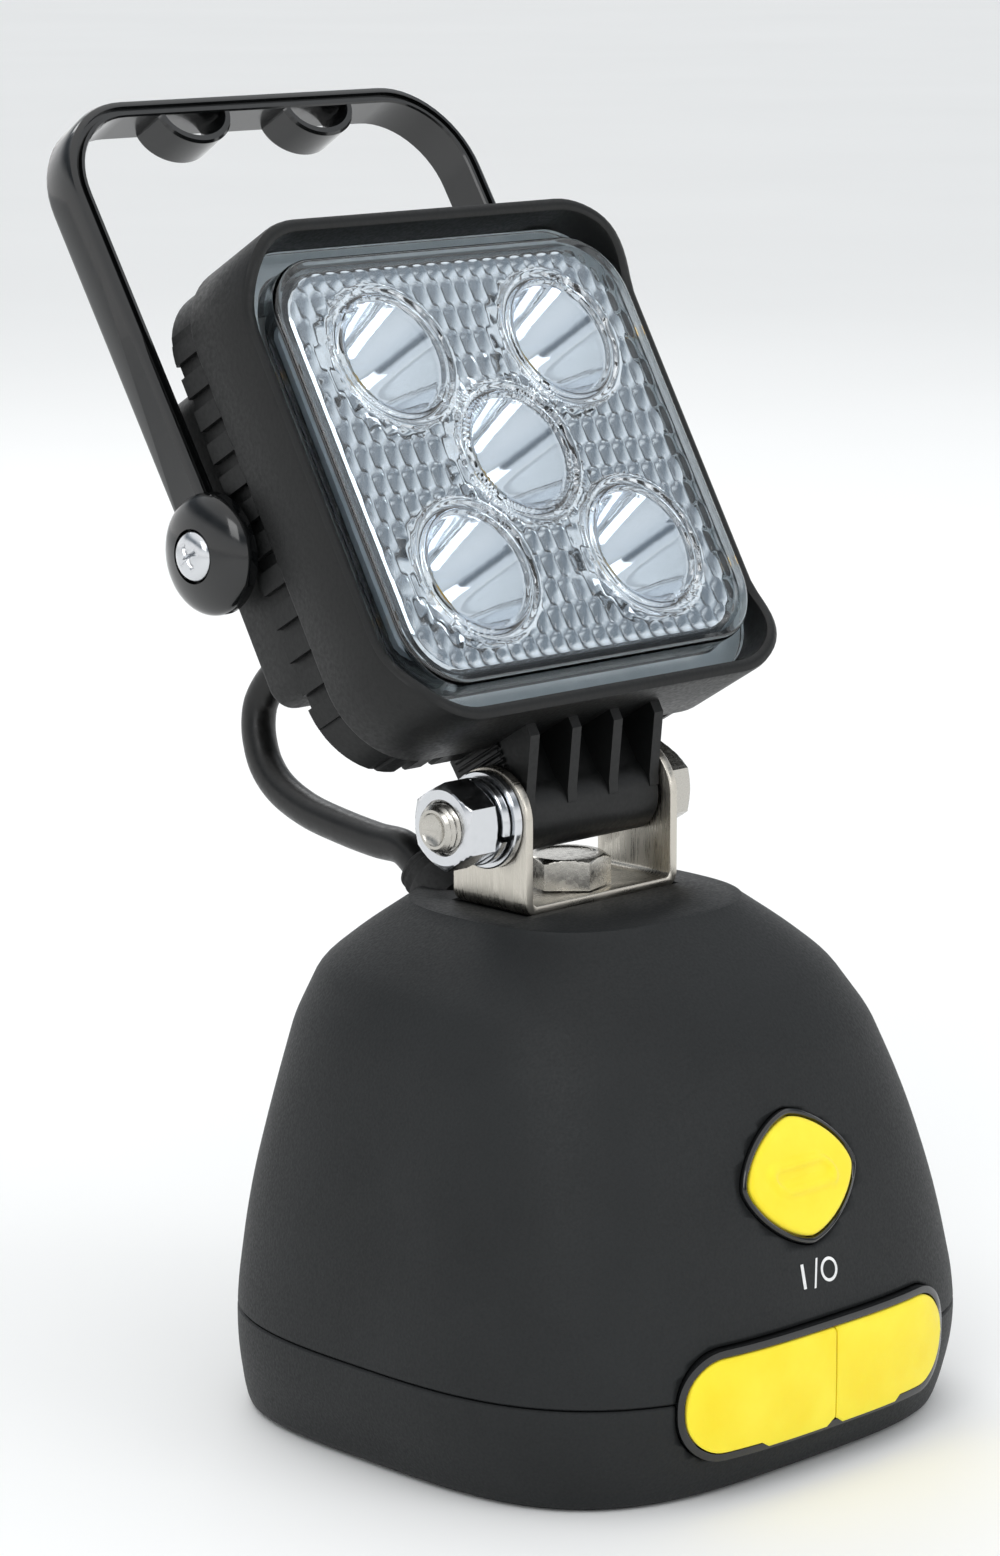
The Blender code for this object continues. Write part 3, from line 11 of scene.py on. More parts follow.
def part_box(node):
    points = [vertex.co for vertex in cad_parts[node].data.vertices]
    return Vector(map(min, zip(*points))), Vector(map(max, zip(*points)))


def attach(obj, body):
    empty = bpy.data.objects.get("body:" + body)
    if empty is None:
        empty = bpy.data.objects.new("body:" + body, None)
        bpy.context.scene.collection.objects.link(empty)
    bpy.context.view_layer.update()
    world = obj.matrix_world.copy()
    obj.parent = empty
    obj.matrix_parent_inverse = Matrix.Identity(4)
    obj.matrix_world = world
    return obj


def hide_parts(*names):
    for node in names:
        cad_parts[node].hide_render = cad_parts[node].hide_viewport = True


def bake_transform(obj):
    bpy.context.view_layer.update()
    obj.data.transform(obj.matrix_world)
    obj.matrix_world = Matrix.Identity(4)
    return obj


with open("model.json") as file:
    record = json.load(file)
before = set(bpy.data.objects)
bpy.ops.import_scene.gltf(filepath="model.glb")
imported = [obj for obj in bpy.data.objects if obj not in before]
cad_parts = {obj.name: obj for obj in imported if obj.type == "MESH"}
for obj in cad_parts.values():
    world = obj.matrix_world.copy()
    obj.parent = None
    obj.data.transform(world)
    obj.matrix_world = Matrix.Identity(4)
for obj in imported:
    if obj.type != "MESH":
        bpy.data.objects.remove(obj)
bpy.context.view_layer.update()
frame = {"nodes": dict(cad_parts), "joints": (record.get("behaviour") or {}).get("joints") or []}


# Camera, daylight and floor. The light stands on a pale matt studio floor under a bright even sky, with a
# large softbox to the left of the camera, a narrow one behind and a weak one on the right that draw the
# edges.

def srgb(hex_colour):
    """The linear colour of an sRGB hex value, as shaders take it."""
    channels = [int(hex_colour[start:start + 2], 16) / 255 for start in (1, 3, 5)]
    return (*[c / 12.92 if c <= 0.04045 else ((c + 0.055) / 1.055) ** 2.4 for c in channels], 1.0)


def add_node(tree, kind, inputs=None, **settings):
    """Adds a node, sets its properties, and sets or links its inputs."""
    node = tree.nodes.new(kind)
    for name, value in settings.items():
        setattr(node, name, value)
    for name, value in (inputs or {}).items():
        if isinstance(value, bpy.types.NodeSocket):
            tree.links.new(value, node.inputs[name])
        else:
            node.inputs[name].default_value = value
    return node


def new_finish(name, colour, roughness, **sockets):
    """A material with its constants on the shader's own sockets; returns it, its tree and its shader."""
    finish = bpy.data.materials.new(name)
    finish.use_nodes = True
    shader = finish.node_tree.nodes["Principled BSDF"]
    shader.inputs["Base Color"].default_value = srgb(colour)
    shader.inputs["Roughness"].default_value = roughness
    for socket, value in sockets.items():
        shader.inputs[socket.replace("_", " ")].default_value = value
    finish.diffuse_color = srgb(colour)
    return finish, finish.node_tree, shader


def moulded_grain(tree, shader, grain_mm, height_mm, mottle_mm, colours, roughness):
    """Fine grain as bump, with slow drifts of colour and roughness; sizes are real ones in millimetres."""
    place = add_node(tree, "ShaderNodeTexCoord").outputs["Object"]
    mottle = add_node(tree, "ShaderNodeTexNoise", {"Vector": place, "Scale": 1000 / mottle_mm, "Detail": 3.0})
    ramp = add_node(tree, "ShaderNodeValToRGB", {"Fac": mottle.outputs["Fac"]})
    ramp.color_ramp.elements[0].position = 0.30
    ramp.color_ramp.elements[0].color = srgb(colours[0])
    ramp.color_ramp.elements[1].position = 0.70
    ramp.color_ramp.elements[1].color = srgb(colours[1])
    grain = add_node(tree, "ShaderNodeTexNoise", {"Vector": place, "Scale": 1000 / grain_mm, "Detail": 2.0})
    gloss = add_node(tree, "ShaderNodeMapRange", {"Value": grain.outputs["Fac"], "From Min": 0.3,
            "From Max": 0.7, "To Min": roughness[0], "To Max": roughness[1]})
    bump = add_node(tree, "ShaderNodeBump", {"Height": grain.outputs["Fac"], "Strength": 1.0,
                                             "Distance": height_mm / 1000})
    tree.links.new(ramp.outputs["Color"], shader.inputs["Base Color"])
    tree.links.new(gloss.outputs["Result"], shader.inputs["Roughness"])
    tree.links.new(bump.outputs["Normal"], shader.inputs["Normal"])


scene = bpy.context.scene
scene.view_settings.view_transform = "Standard"

VIEW_AZIMUTH = math.radians(-44.39)
VIEW_ELEVATION = math.radians(11.54)
VIEW_DISTANCE = 0.9553
VIEW_TARGET = Vector((-0.0190, 0.0077, 0.1329))
FOCAL_LENGTH = 109.55        # millimetres on a 36 mm sensor

camera = bpy.data.objects.new("camera", bpy.data.cameras.new("camera"))
camera.data.lens = FOCAL_LENGTH
camera.data.clip_start = 0.01
view_back = Vector((math.sin(VIEW_AZIMUTH) * math.cos(VIEW_ELEVATION),
                    -math.cos(VIEW_AZIMUTH) * math.cos(VIEW_ELEVATION), math.sin(VIEW_ELEVATION)))
camera.location = VIEW_TARGET + view_back * VIEW_DISTANCE
camera.rotation_mode = "QUATERNION"
camera.rotation_quaternion = (-view_back).to_track_quat("-Z", "Y")
scene.collection.objects.link(camera)
scene.camera = camera

# Softboxes as (name, place, aim, width, height, watts)
SOFTBOXES = (
    ("key_softbox", (-1.30, -0.75, 1.35), (0.0, 0.0, 0.14), 1.0, 1.0, 9.0),
    ("front_softbox", (0.55, -1.60, 0.95), (0.0, 0.0, 0.12), 0.8, 0.8, 4.0),
    ("rim_softbox", (0.60, 1.20, 1.20), (0.0, 0.0, 0.16), 1.2, 0.5, 6.0),
)
for name, place, aim, width, height, watts in SOFTBOXES:
    lamp = bpy.data.lights.new(name, "AREA")
    lamp.shape = "RECTANGLE"
    lamp.size = width
    lamp.size_y = height
    lamp.energy = watts
    stand = bpy.data.objects.new(name, lamp)
    stand.location = place
    stand.rotation_mode = "QUATERNION"
    stand.rotation_quaternion = (Vector(aim) - Vector(place)).to_track_quat("-Z", "Y")
    scene.collection.objects.link(stand)

sky = bpy.data.worlds.new("studio_sky")
sky.use_nodes = True
sky_light = sky.node_tree.nodes["Background"]
sky_way = add_node(sky.node_tree, "ShaderNodeTexCoord").outputs["Generated"]
sky_height = add_node(sky.node_tree, "ShaderNodeSeparateXYZ", {"Vector": sky_way})
sky_share = add_node(sky.node_tree, "ShaderNodeMapRange", {"Value": sky_height.outputs["Z"], "From Min": -0.2,
                                                           "From Max": 1.0})
sky_ramp = add_node(sky.node_tree, "ShaderNodeValToRGB", {"Fac": sky_share.outputs["Result"]})
for position, colour in ((0.0, "#E8E9EA"), (0.17, "#FFFFFF"), (0.40, "#F1F3F5"), (0.50, "#737A81"),
                         (0.60, "#7F868D"), (0.72, "#E9ECEF"), (1.0, "#F8F9FB")):
    stop = sky_ramp.color_ramp.elements.new(position)
    stop.color = srgb(colour)
sky_ramp.color_ramp.elements.remove(sky_ramp.color_ramp.elements[0])
sky_ramp.color_ramp.elements.remove(sky_ramp.color_ramp.elements[-1])
sky.node_tree.links.new(sky_ramp.outputs["Color"], sky_light.inputs["Color"])
sky_light.inputs["Strength"].default_value = 1.15
scene.world = sky

FLOOR_RADIUS = 16.0
FLOOR_DROP = 0.0001

floor_mesh = bmesh.new()
bmesh.ops.create_circle(floor_mesh, cap_ends=True, segments=96, radius=FLOOR_RADIUS,
                        matrix=Matrix.Translation((0, 0, -FLOOR_DROP)))
floor_data = bpy.data.meshes.new("studio_floor")
floor_mesh.to_mesh(floor_data)
floor_mesh.free()
studio_floor = bpy.data.objects.new("studio_floor", floor_data)
scene.collection.objects.link(studio_floor)
# Matt studio paper: one even tone, with a barely visible fibre.
floor_paper, floor_tree, floor_shader = new_finish("studio_paper", "#F6F6F5", 0.85, Specular_IOR_Level=0.15)
moulded_grain(floor_tree, floor_shader, 2.0, 0.02, 400.0, ("#F5F5F4", "#F7F7F6"), (0.80, 0.90))
studio_floor.data.materials.append(floor_paper)


# Lamp cable. A round PVC-jacketed two-core cable, stiff enough to stand up in one loop from the gland in the
# lamp's back to the rubber gland behind the bracket; it bends across the tilt joint, so it is one tube that
# rides on neither body.

TILT = math.radians(30.75)
HEAD_FORWARD = 0.0262
HEAD_HALF = 0.0550
HEAD_RISE = 0.0682
GAP = 0.0003

joint_places = {joint["name"]: Vector(joint["pos_m"]) for joint in frame["joints"] if "pos_m" in joint}
pivot = joint_places["head_tilt"]
head_turn = Matrix.Rotation(-TILT, 4, "X")


def on_head(u, v, w):
    """u along the bolt, v up from the lamp's middle and w back from the hood's plane."""
    return pivot + head_turn @ Vector((u, w - HEAD_FORWARD, v + HEAD_RISE))


def finish_piece(name, bm, finishes, body, replaces=(), crease=40):
    """Makes a bmesh a named piece that rides on a body and, if told, stands for CAD nodes."""
    bmesh.ops.recalc_face_normals(bm, faces=bm.faces[:])
    mesh = bpy.data.meshes.new(name)
    bm.to_mesh(mesh)
    bm.free()
    mesh.shade_smooth()
    mesh.set_sharp_from_angle(angle=math.radians(crease))
    piece = bpy.data.objects.new(name, mesh)
    scene.collection.objects.link(piece)
    for finish in finishes:
        mesh.materials.append(finish)
    if body:
        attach(piece, body)
    if replaces:
        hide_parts(*replaces)
    return piece


def add_loft(bm, rings, closed=False, finish=0):
    """Joins rings of equal length with quads; the ends are capped or, if closed, joined to each other."""
    rows = [[bm.verts.new(point) for point in ring] for ring in rings]
    pairs = list(zip(rows, rows[1:]))
    if closed:
        pairs.append((rows[-1], rows[0]))
    for low, high in pairs:
        for index in range(len(low)):
            after = (index + 1) % len(low)
            bm.faces.new((low[index], low[after], high[after], high[index])).material_index = finish
    if not closed:
        bm.faces.new(rows[0][::-1]).material_index = finish
        bm.faces.new(rows[-1]).material_index = finish


def smooth_route(points, steps):
    """Points read from a Catmull-Rom curve through the route's own points."""
    padded = [points[0] * 2 - points[1], *points, points[-1] * 2 - points[-2]]
    route = []
    for a, b, c, d in zip(padded, padded[1:], padded[2:], padded[3:]):
        for step in range(steps):
            t = step / steps
            route.append(0.5 * ((2 * b) + (c - a) * t + (2 * a - 5 * b + 4 * c - d) * t * t
                                + (3 * b - a - 3 * c + d) * t * t * t))
    route.append(points[-1])
    return route


def tube_rings(route, radius, sides):
    """Rings square to a route, carried along it without twist."""
    side = Vector((1, 0, 0))
    rings = []
    for index, point in enumerate(route):
        along = (route[min(index + 1, len(route) - 1)] - route[max(index - 1, 0)]).normalized()
        side = (side - along * side.dot(along)).normalized()
        up = along.cross(side)
        rings.append([point + (side * math.cos(2 * math.pi * step / sides) + up * math.sin(2 * math.pi
                * step / sides)) * radius for step in range(sides)])
    return rings


CABLE_DIAMETER = 0.0075
HEAD_GLAND_DROP = 0.0100
HEAD_GLAND_FACE = 0.0520
BASE_GLAND_FACE = Vector((-0.0120, 0.0385, 0.1089))
BASE_GLAND_LEAN = math.radians(30.0)
# Points of the loop between the glands, lamp end first
CABLE_ROUTE = (
    (-0.0016, 0.0770, 0.1514), (-0.0029, 0.0855, 0.1462), (-0.0042, 0.0920, 0.1409),
    (-0.0054, 0.0951, 0.1358), (-0.0066, 0.0951, 0.1313), (-0.0079, 0.0932, 0.1268),
    (-0.0091, 0.0896, 0.1220), (-0.0101, 0.0834, 0.1179), (-0.0110, 0.0738, 0.1149),
    (-0.0116, 0.0622, 0.1132), (-0.0120, 0.0515, 0.1122),
)
gland_out = Vector((0, math.cos(BASE_GLAND_LEAN), math.sin(BASE_GLAND_LEAN)))
gland_up = gland_out.cross(Vector((1, 0, 0)))


def on_base_gland(u, v, w):
    return BASE_GLAND_FACE + Vector((u, 0, 0)) + gland_up * v + gland_out * w


# PVC jacket: extruded satin black with a faint pull along its length and a slightly greasy shine.
cable_pvc, cable_tree, cable_shader = new_finish("extruded_pvc_jacket", "#0C0C0C", 0.36, IOR=1.53,
        Specular_IOR_Level=0.4)
moulded_grain(cable_tree, cable_shader, 1.2, 0.03, 14.0, ("#090909", "#111110"), (0.30, 0.44))

cable_points = [on_head(0, -HEAD_GLAND_DROP, HEAD_GLAND_FACE + GAP),
                on_head(0, -HEAD_GLAND_DROP, HEAD_GLAND_FACE + 0.009),
                *map(Vector, CABLE_ROUTE),
                on_base_gland(0, 0, 0.006),
                on_base_gland(0, 0, GAP)]
cable_line = smooth_route(cable_points, 8)
cable_bm = bmesh.new()
add_loft(cable_bm, tube_rings(cable_line, CABLE_DIAMETER / 2, 28))
lamp_cable = finish_piece("lamp_cable_jacket", cable_bm, [cable_pvc], None, ["lamp_cable"],
                          60)
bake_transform(lamp_cable)


# Base cover. One moulding in dark grey ABS: rounded-square sides that lean in, two soft creases near the top
# and a flat pad for the bracket. It was moulded in a spark-eroded tool, which leaves a fine matt grain.

BASE_WIDTH = 0.1362
BASE_DEPTH = 0.1300
BASE_HEIGHT = 0.1065
PARTING_HEIGHT = 0.0220
BASE_WALL = 0.0025
BRACKET_Y = pivot.y
# Shares of height and width, sideways drift of the centre and squareness of the outline, from the foot up
BASE_FORM = (
    (0.000, 0.914, 0.0000, 3.50), (0.038, 0.960, -0.0003, 3.10), (0.113, 0.991, -0.0011, 2.98),
    (0.207, 1.000, -0.0016, 3.02), (0.432, 0.941, -0.0003, 3.08), (0.620, 0.865, 0.0008, 3.08),
    (0.770, 0.789, 0.0028, 3.04), (0.873, 0.703, 0.0049, 2.95), (0.934, 0.596, 0.0050, 2.85),
    (1.000, 0.455, 0.0050, 2.80),
)
SOFT_BELOW = 0.075       # the form is rounded widely below this height and tightly above it
BASE_SIDES = 120


def straight_section(height):
    share = min(max(height / BASE_HEIGHT, 0.0), 1.0)
    for low, high in zip(BASE_FORM, BASE_FORM[1:]):
        if share <= high[0]:
            break
    part = (share - low[0]) / (high[0] - low[0])
    return [a + (b - a) * part for a, b in zip(low[1:], high[1:])]


def base_section(height):
    """Half width, half depth, centre and squareness, with the joins between rows rounded off."""
    reach = min(0.0080 if height < SOFT_BELOW else 0.0022, max(height, 0.0001),
                max(BASE_HEIGHT - height, 0.0001))
    samples = [straight_section(height + reach * step / 4) for step in range(-4, 5)]
    width, centre, squareness = [sum(values) / len(samples) for values in zip(*samples)]
    return width * BASE_WIDTH / 2, width * BASE_DEPTH / 2, centre, squareness


def base_ring(height, inset=0.0, at=None):
    half_width, half_depth, centre, squareness = base_section(height)
    power = 2.0 / squareness
    points = []
    for step in range(BASE_SIDES):
        c = math.cos(2 * math.pi * step / BASE_SIDES)
        s = math.sin(2 * math.pi * step / BASE_SIDES)
        points.append(Vector((math.copysign(abs(c) ** power, c) * (half_width - inset),
                              math.copysign(abs(s) ** power, s) * (half_depth - inset) + centre,
                              height if at is None else at)))
    return points


def front_point(x, height, outward=0.0):
    """Point on the base's front above x, moved out along the outline's normal in plan."""
    half_width, half_depth, centre, n = base_section(height)
    share = abs(x) / half_width
    y = half_depth * (1 - share ** n) ** (1 / n)
    normal = Vector((math.copysign(share ** (n - 1) / half_width, x),
                     -((y / half_depth) ** (n - 1)) / half_depth, 0))
    return Vector((x, centre - y, height)) + normal.normalized() * outward


BUTTON_HEIGHT = 0.0593
button_out = -Vector(next(joint["axis"]
                          for joint in frame["joints"] if joint["name"] == "button_press")).normalized()
button_up = button_out.cross(Vector((1, 0, 0)))
button_up = button_up if button_up.z > 0 else -button_up


def on_button(u, v, w, height=BUTTON_HEIGHT):
    """u along X, v up the slope of the front and w outwards, from the button's middle."""
    return front_point(0, height) + Vector((u, 0, 0)) + button_up * v + button_out * w


def rounded_diamond(grow=0.0, sides=64):
    points = []
    for step in range(sides):
        c = math.cos(2 * math.pi * step / sides)
        s = math.sin(2 * math.pi * step / sides)
        power = 2.0 / 1.55
        points.append((math.copysign(abs(c) ** power, c) * (0.0150 + grow),
                       math.copysign(abs(s) ** power, s) * (0.0120 + grow)))
    return points


def combine(piece, bm, operation="DIFFERENCE"):
    """Cuts or adds a block by an exact Boolean, and keeps the result as the piece's own mesh."""
    bmesh.ops.recalc_face_normals(bm, faces=bm.faces[:])
    tool_mesh = bpy.data.meshes.new("tool")
    bm.to_mesh(tool_mesh)
    bm.free()
    for polygon in tool_mesh.polygons:
        polygon.use_smooth = True
    tool_mesh.set_sharp_from_angle(angle=math.radians(40))
    tool = bpy.data.objects.new("tool", tool_mesh)
    scene.collection.objects.link(tool)
    modifier = piece.modifiers.new("tool", "BOOLEAN")
    modifier.object = tool
    modifier.operation = operation
    modifier.solver = "EXACT"
    keep_modifiers(piece)
    bpy.data.objects.remove(tool)


def keep_modifiers(piece):
    """Makes the evaluated mesh the piece's own."""
    bpy.context.view_layer.update()
    evaluated = piece.evaluated_get(bpy.context.evaluated_depsgraph_get())
    piece_mesh = bpy.data.meshes.new_from_object(evaluated)
    piece.modifiers.clear()
    piece.data = piece_mesh


def soften_edges(piece, width, segments=2, angle=38):
    """Rounds the edges sharper than an angle, as every moulded, cast or cut edge is."""
    modifier = piece.modifiers.new("edges", "BEVEL")
    modifier.width = width
    modifier.segments = segments
    modifier.limit_method = "ANGLE"
    modifier.angle_limit = math.radians(angle)
    modifier.use_clamp_overlap = True
    keep_modifiers(piece)
    piece.data.set_sharp_from_angle(angle=math.radians(50))


def arc(centre_u, centre_v, radius, start, end, steps):
    points = []
    for step in range(steps + 1):
        angle = math.radians(start + (end - start) * step / steps)
        points.append((centre_u + radius * math.cos(angle), centre_v + radius * math.sin(angle)))
    return points


def circle(radius, centre_u=0.0, centre_v=0.0, sides=48):
    return arc(centre_u, centre_v, radius, 0, 360 * (sides - 1) / sides, sides - 1)


def along_x(u, v, w):
    return Vector((w, u, v))


def along_y(u, v, w):
    return Vector((u, w, v))


def along_z(u, v, w):
    return Vector((u, v, w))


def shifted(place, x=0.0, y=0.0, z=0.0):
    return lambda u, v, w: place(u, v, w) + Vector((x, y, z))


def ring_at(outline, depth, place):
    return [place(u, v, depth) for u, v in outline]


def add_prism(bm, outline, low, high, place, finish=0):
    add_loft(bm, [ring_at(outline, low, place), ring_at(outline, high, place)], finish=finish)


def port_stations(left, right, half_height, left_radius, right_radius, steps=12):
    """(x, half height) along a cover whose two ends are rounded."""
    stations = []
    for step in range(steps + 1):
        angle = math.radians(90 * step / steps)
        stations.append((left + left_radius * (1 - math.cos(angle)),
                         half_height - left_radius * (1 - math.sin(angle))))
    inner_left = left + left_radius
    inner_right = right - right_radius
    for step in range(1, 16):
        stations.append((inner_left + (inner_right - inner_left) * step / 16, half_height))
    for step in range(steps, -1, -1):
        angle = math.radians(90 * step / steps)
        stations.append((right - right_radius * (1 - math.cos(angle)),
                         half_height - right_radius * (1 - math.sin(angle))))
    return stations


PORT_HEIGHT = 0.0203
PORT_END = 0.0390
PORT_HALF = 0.0112
PORT_RADIUS = PORT_HALF * 0.92


def port_block(end, half_height, radius, front, back):
    """A plate that follows the base's front between two distances outwards from it."""
    bm = bmesh.new()
    rings = []
    for x, half in port_stations(-end, end, half_height, radius, radius):
        near = front_point(x, PORT_HEIGHT, front)
        far = front_point(x, PORT_HEIGHT, back)
        rings.append([near - Vector((0, 0, half)), near + Vector((0, 0, half)), far + Vector((0, 0, half)),
                      far - Vector((0, 0, half))])
    add_loft(bm, rings)
    return bm


# Spark-eroded ABS: the grain is about 0.4 mm and drawn at 0.6 mm so that it shows; it scatters light into a
# soft sheen.
base_abs, base_tree, base_shader = new_finish("spark_eroded_abs", "#1C1E1F", 0.58, IOR=1.52,
                                              Specular_IOR_Level=0.28)
moulded_grain(base_tree, base_shader, 0.6, 0.070, 30.0, ("#17191A", "#1E2021"), (0.50, 0.66))

SEAM_CHAMFER = 0.00035
cover_low = PARTING_HEIGHT + GAP / 2
cover_heights = [cover_low + SEAM_CHAMFER] + [cover_low + (BASE_HEIGHT - 0.0008 - cover_low) * step / 56
                                              for step in range(1, 57)]
cover_rings = [base_ring(BASE_HEIGHT - 0.001, BASE_WALL, BASE_HEIGHT - BASE_WALL)]
cover_rings += [base_ring(height, BASE_WALL * 1.15, height) for height in cover_heights[-3:0:-4]]
cover_rings += [base_ring(cover_low, BASE_WALL), base_ring(cover_low, SEAM_CHAMFER)]
cover_rings += [base_ring(height) for height in cover_heights]
cover_rings += [base_ring(BASE_HEIGHT - 0.0008, 0.0004, BASE_HEIGHT - 0.0003),
                base_ring(BASE_HEIGHT - 0.0008, 0.0013, BASE_HEIGHT)]
cover_bm = bmesh.new()
add_loft(cover_bm, cover_rings)
base_cover = finish_piece("base_cover", cover_bm, [base_abs], "base", ["base_shell"], 30)

BRACKET_WIDTH = 0.0439
BRACKET_DEPTH = 0.0212
bracket_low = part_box("bracket")[0].z
pocket_bm = bmesh.new()
pocket_half = (BRACKET_WIDTH / 2 + GAP, BRACKET_DEPTH / 2 + GAP)
pocket = [(-pocket_half[0], BRACKET_Y - pocket_half[1]), (pocket_half[0], BRACKET_Y - pocket_half[1]),
          (pocket_half[0], BRACKET_Y + pocket_half[1]), (-pocket_half[0], BRACKET_Y + pocket_half[1])]
add_prism(pocket_bm, pocket, bracket_low - GAP, BASE_HEIGHT + 0.005, along_z)
combine(base_cover, pocket_bm)
hole_bm = bmesh.new()
add_prism(hole_bm, circle(0.0053, 0, BRACKET_Y), BASE_HEIGHT - 0.010, BASE_HEIGHT + 0.006, along_z)
combine(base_cover, hole_bm)
hole_bm = bmesh.new()
add_prism(hole_bm, circle(0.0065), -0.016, 0.004, on_base_gland)
combine(base_cover, hole_bm)
hole_bm = bmesh.new()
add_prism(hole_bm, rounded_diamond(0.0019), -0.009, 0.006, on_button)
combine(base_cover, hole_bm)
combine(base_cover, port_block(PORT_END + GAP, PORT_HALF + GAP, PORT_RADIUS + GAP, 0.006, -0.010))


# Base pan. The same ABS, closing the cover from below: a rounded foot, four wells for the magnets and four
# deep screw holes. A fine chamfer on both edges makes the seam a dark line all round.

pan_high = PARTING_HEIGHT - GAP / 2
SCREW_PLACES = [(x * 0.0442, y * 0.0411) for x in (-1, 1) for y in (-1, 1)]
MAGNET_PLACES = [(x * 0.0270, y * 0.0270) for x in (-1, 1) for y in (-1, 1)]
PAN_LIP = BASE_WALL + 2 * GAP
pan_bm = bmesh.new()
pan_rings = [base_ring(0.0, 0.0012, 0.0), base_ring(0.0, 0.0003, 0.0005)]
pan_rings += [base_ring(0.0012 + (pan_high - SEAM_CHAMFER - 0.0012) * step / 14) for step in range(15)]
pan_rings += [base_ring(pan_high, SEAM_CHAMFER), base_ring(pan_high, PAN_LIP),
              base_ring(pan_high, PAN_LIP, pan_high + 0.003),
              base_ring(pan_high, PAN_LIP + BASE_WALL, pan_high + 0.003),
              base_ring(pan_high, PAN_LIP + BASE_WALL, 0.007),
              base_ring(0.004, PAN_LIP + BASE_WALL + 0.002, 0.003)]
add_loft(pan_bm, pan_rings)
base_pan = finish_piece("base_pan", pan_bm, [base_abs], "base", ["base_tray"], 30)
wells_bm = bmesh.new()
for x, y in MAGNET_PLACES:
    add_prism(wells_bm, circle(0.0172, x, y), 0.0015, 0.0087, along_z)
for x, y in SCREW_PLACES:
    add_prism(wells_bm, circle(0.0048, x, y), 0.0015, 0.0270, along_z)
combine(base_pan, wells_bm, "UNION")
pits_bm = bmesh.new()
for x, y in MAGNET_PLACES:
    add_prism(pits_bm, circle(0.0153, x, y), -0.002, 0.0072, along_z)
for x, y in SCREW_PLACES:
    add_loft(pits_bm, [ring_at(circle(0.0038, x, y), -0.002, along_z),
                       ring_at(circle(0.0038, x, y), 0.004, along_z),
                       ring_at(circle(0.00205, x, y), 0.004, along_z),
                       ring_at(circle(0.00205, x, y), 0.032, along_z)])
combine(base_pan, pits_bm)
combine(base_pan, port_block(PORT_END + GAP, PORT_HALF + GAP, PORT_RADIUS + GAP, 0.006, -0.010))


# Pan screws and magnets. Four zinc-plated cross-head screws sit deep in their holes, and four nickel-plated
# ring magnets are pressed into the wells, with a countersunk middle.

def add_turned(bm, profile, place, sides=48, closed=False, finish=0):
    """Turns (radius, height) points about the third axis of place; a radius of 0 becomes a single point."""
    rows = []
    for radius, height in profile:
        outline = [(0, 0)] if radius == 0 else circle(radius, sides=sides)
        rows.append([bm.verts.new(place(u, v, height)) for u, v in outline])
    pairs = list(zip(rows, rows[1:]))
    if closed:
        pairs.append((rows[-1], rows[0]))
    for low, high in pairs:
        for index in range(sides):
            after = (index + 1) % sides
            if len(low) == 1:
                face = bm.faces.new((low[0], high[after], high[index]))
            elif len(high) == 1:
                face = bm.faces.new((low[index], low[after], high[0]))
            else:
                face = bm.faces.new((low[index], low[after], high[after], high[index]))
            face.material_index = finish


def cross_recess(place, face, size, depth, inward):
    """Cutter of a cross recess: one tapered cross, inward from a screw's face."""
    bm = bmesh.new()
    rings = []
    for reach, half, level in ((size, 0.17 * size, -0.3 * depth), (size, 0.17 * size, 0.0),
                               (0.45 * size, 0.11 * size, depth)):
        cross = [(half, half), (half, reach), (-half, reach), (-half, half), (-reach, half), (-reach, -half),
                 (-half, -half), (-half, -reach), (half, -reach), (half, -half), (reach, -half),
                 (reach, half)]
        rings.append(ring_at(cross, face + inward * level, place))
    add_loft(bm, rings)
    return bm


def drifting_metal(tree, shader, grain, height_mm, roughness):
    """Plated or ground metal: grain sizes in millimetres along X, Y and Z, as bump and as drift of gloss."""
    place = add_node(tree, "ShaderNodeTexCoord").outputs["Object"]
    stretched = add_node(tree, "ShaderNodeMapping", {"Vector": place,
                                                     "Scale": [1000 / size for size in grain]})
    lines = add_node(tree, "ShaderNodeTexNoise", {"Vector": stretched.outputs["Vector"], "Scale": 1.0,
            "Detail": 3.0})
    gloss = add_node(tree, "ShaderNodeMapRange", {"Value": lines.outputs["Fac"], "From Min": 0.3,
            "From Max": 0.7, "To Min": roughness[0], "To Max": roughness[1]})
    bump = add_node(tree, "ShaderNodeBump", {"Height": lines.outputs["Fac"], "Strength": 1.0,
                                             "Distance": height_mm / 1000})
    tree.links.new(gloss.outputs["Result"], shader.inputs["Roughness"])
    tree.links.new(bump.outputs["Normal"], shader.inputs["Normal"])


# Bright zinc plating: a cool, nearly mirror surface over slightly rough cold-formed steel.
bright_zinc, zinc_tree, zinc_shader = new_finish("bright_zinc_plate", "#D3D5D8", 0.18, Metallic=1.0)
drifting_metal(zinc_tree, zinc_shader, (1.4, 1.4, 1.4), 0.010, (0.12, 0.26))
# Nickel plating: warmer and softer than zinc, with a fine bead-blasted grain under it.
nickel_plate, nickel_tree, nickel_shader = new_finish("nickel_plate", "#BDB8AE", 0.26, Metallic=1.0)
drifting_metal(nickel_tree, nickel_shader, (0.8, 0.8, 0.8), 0.012, (0.20, 0.34))

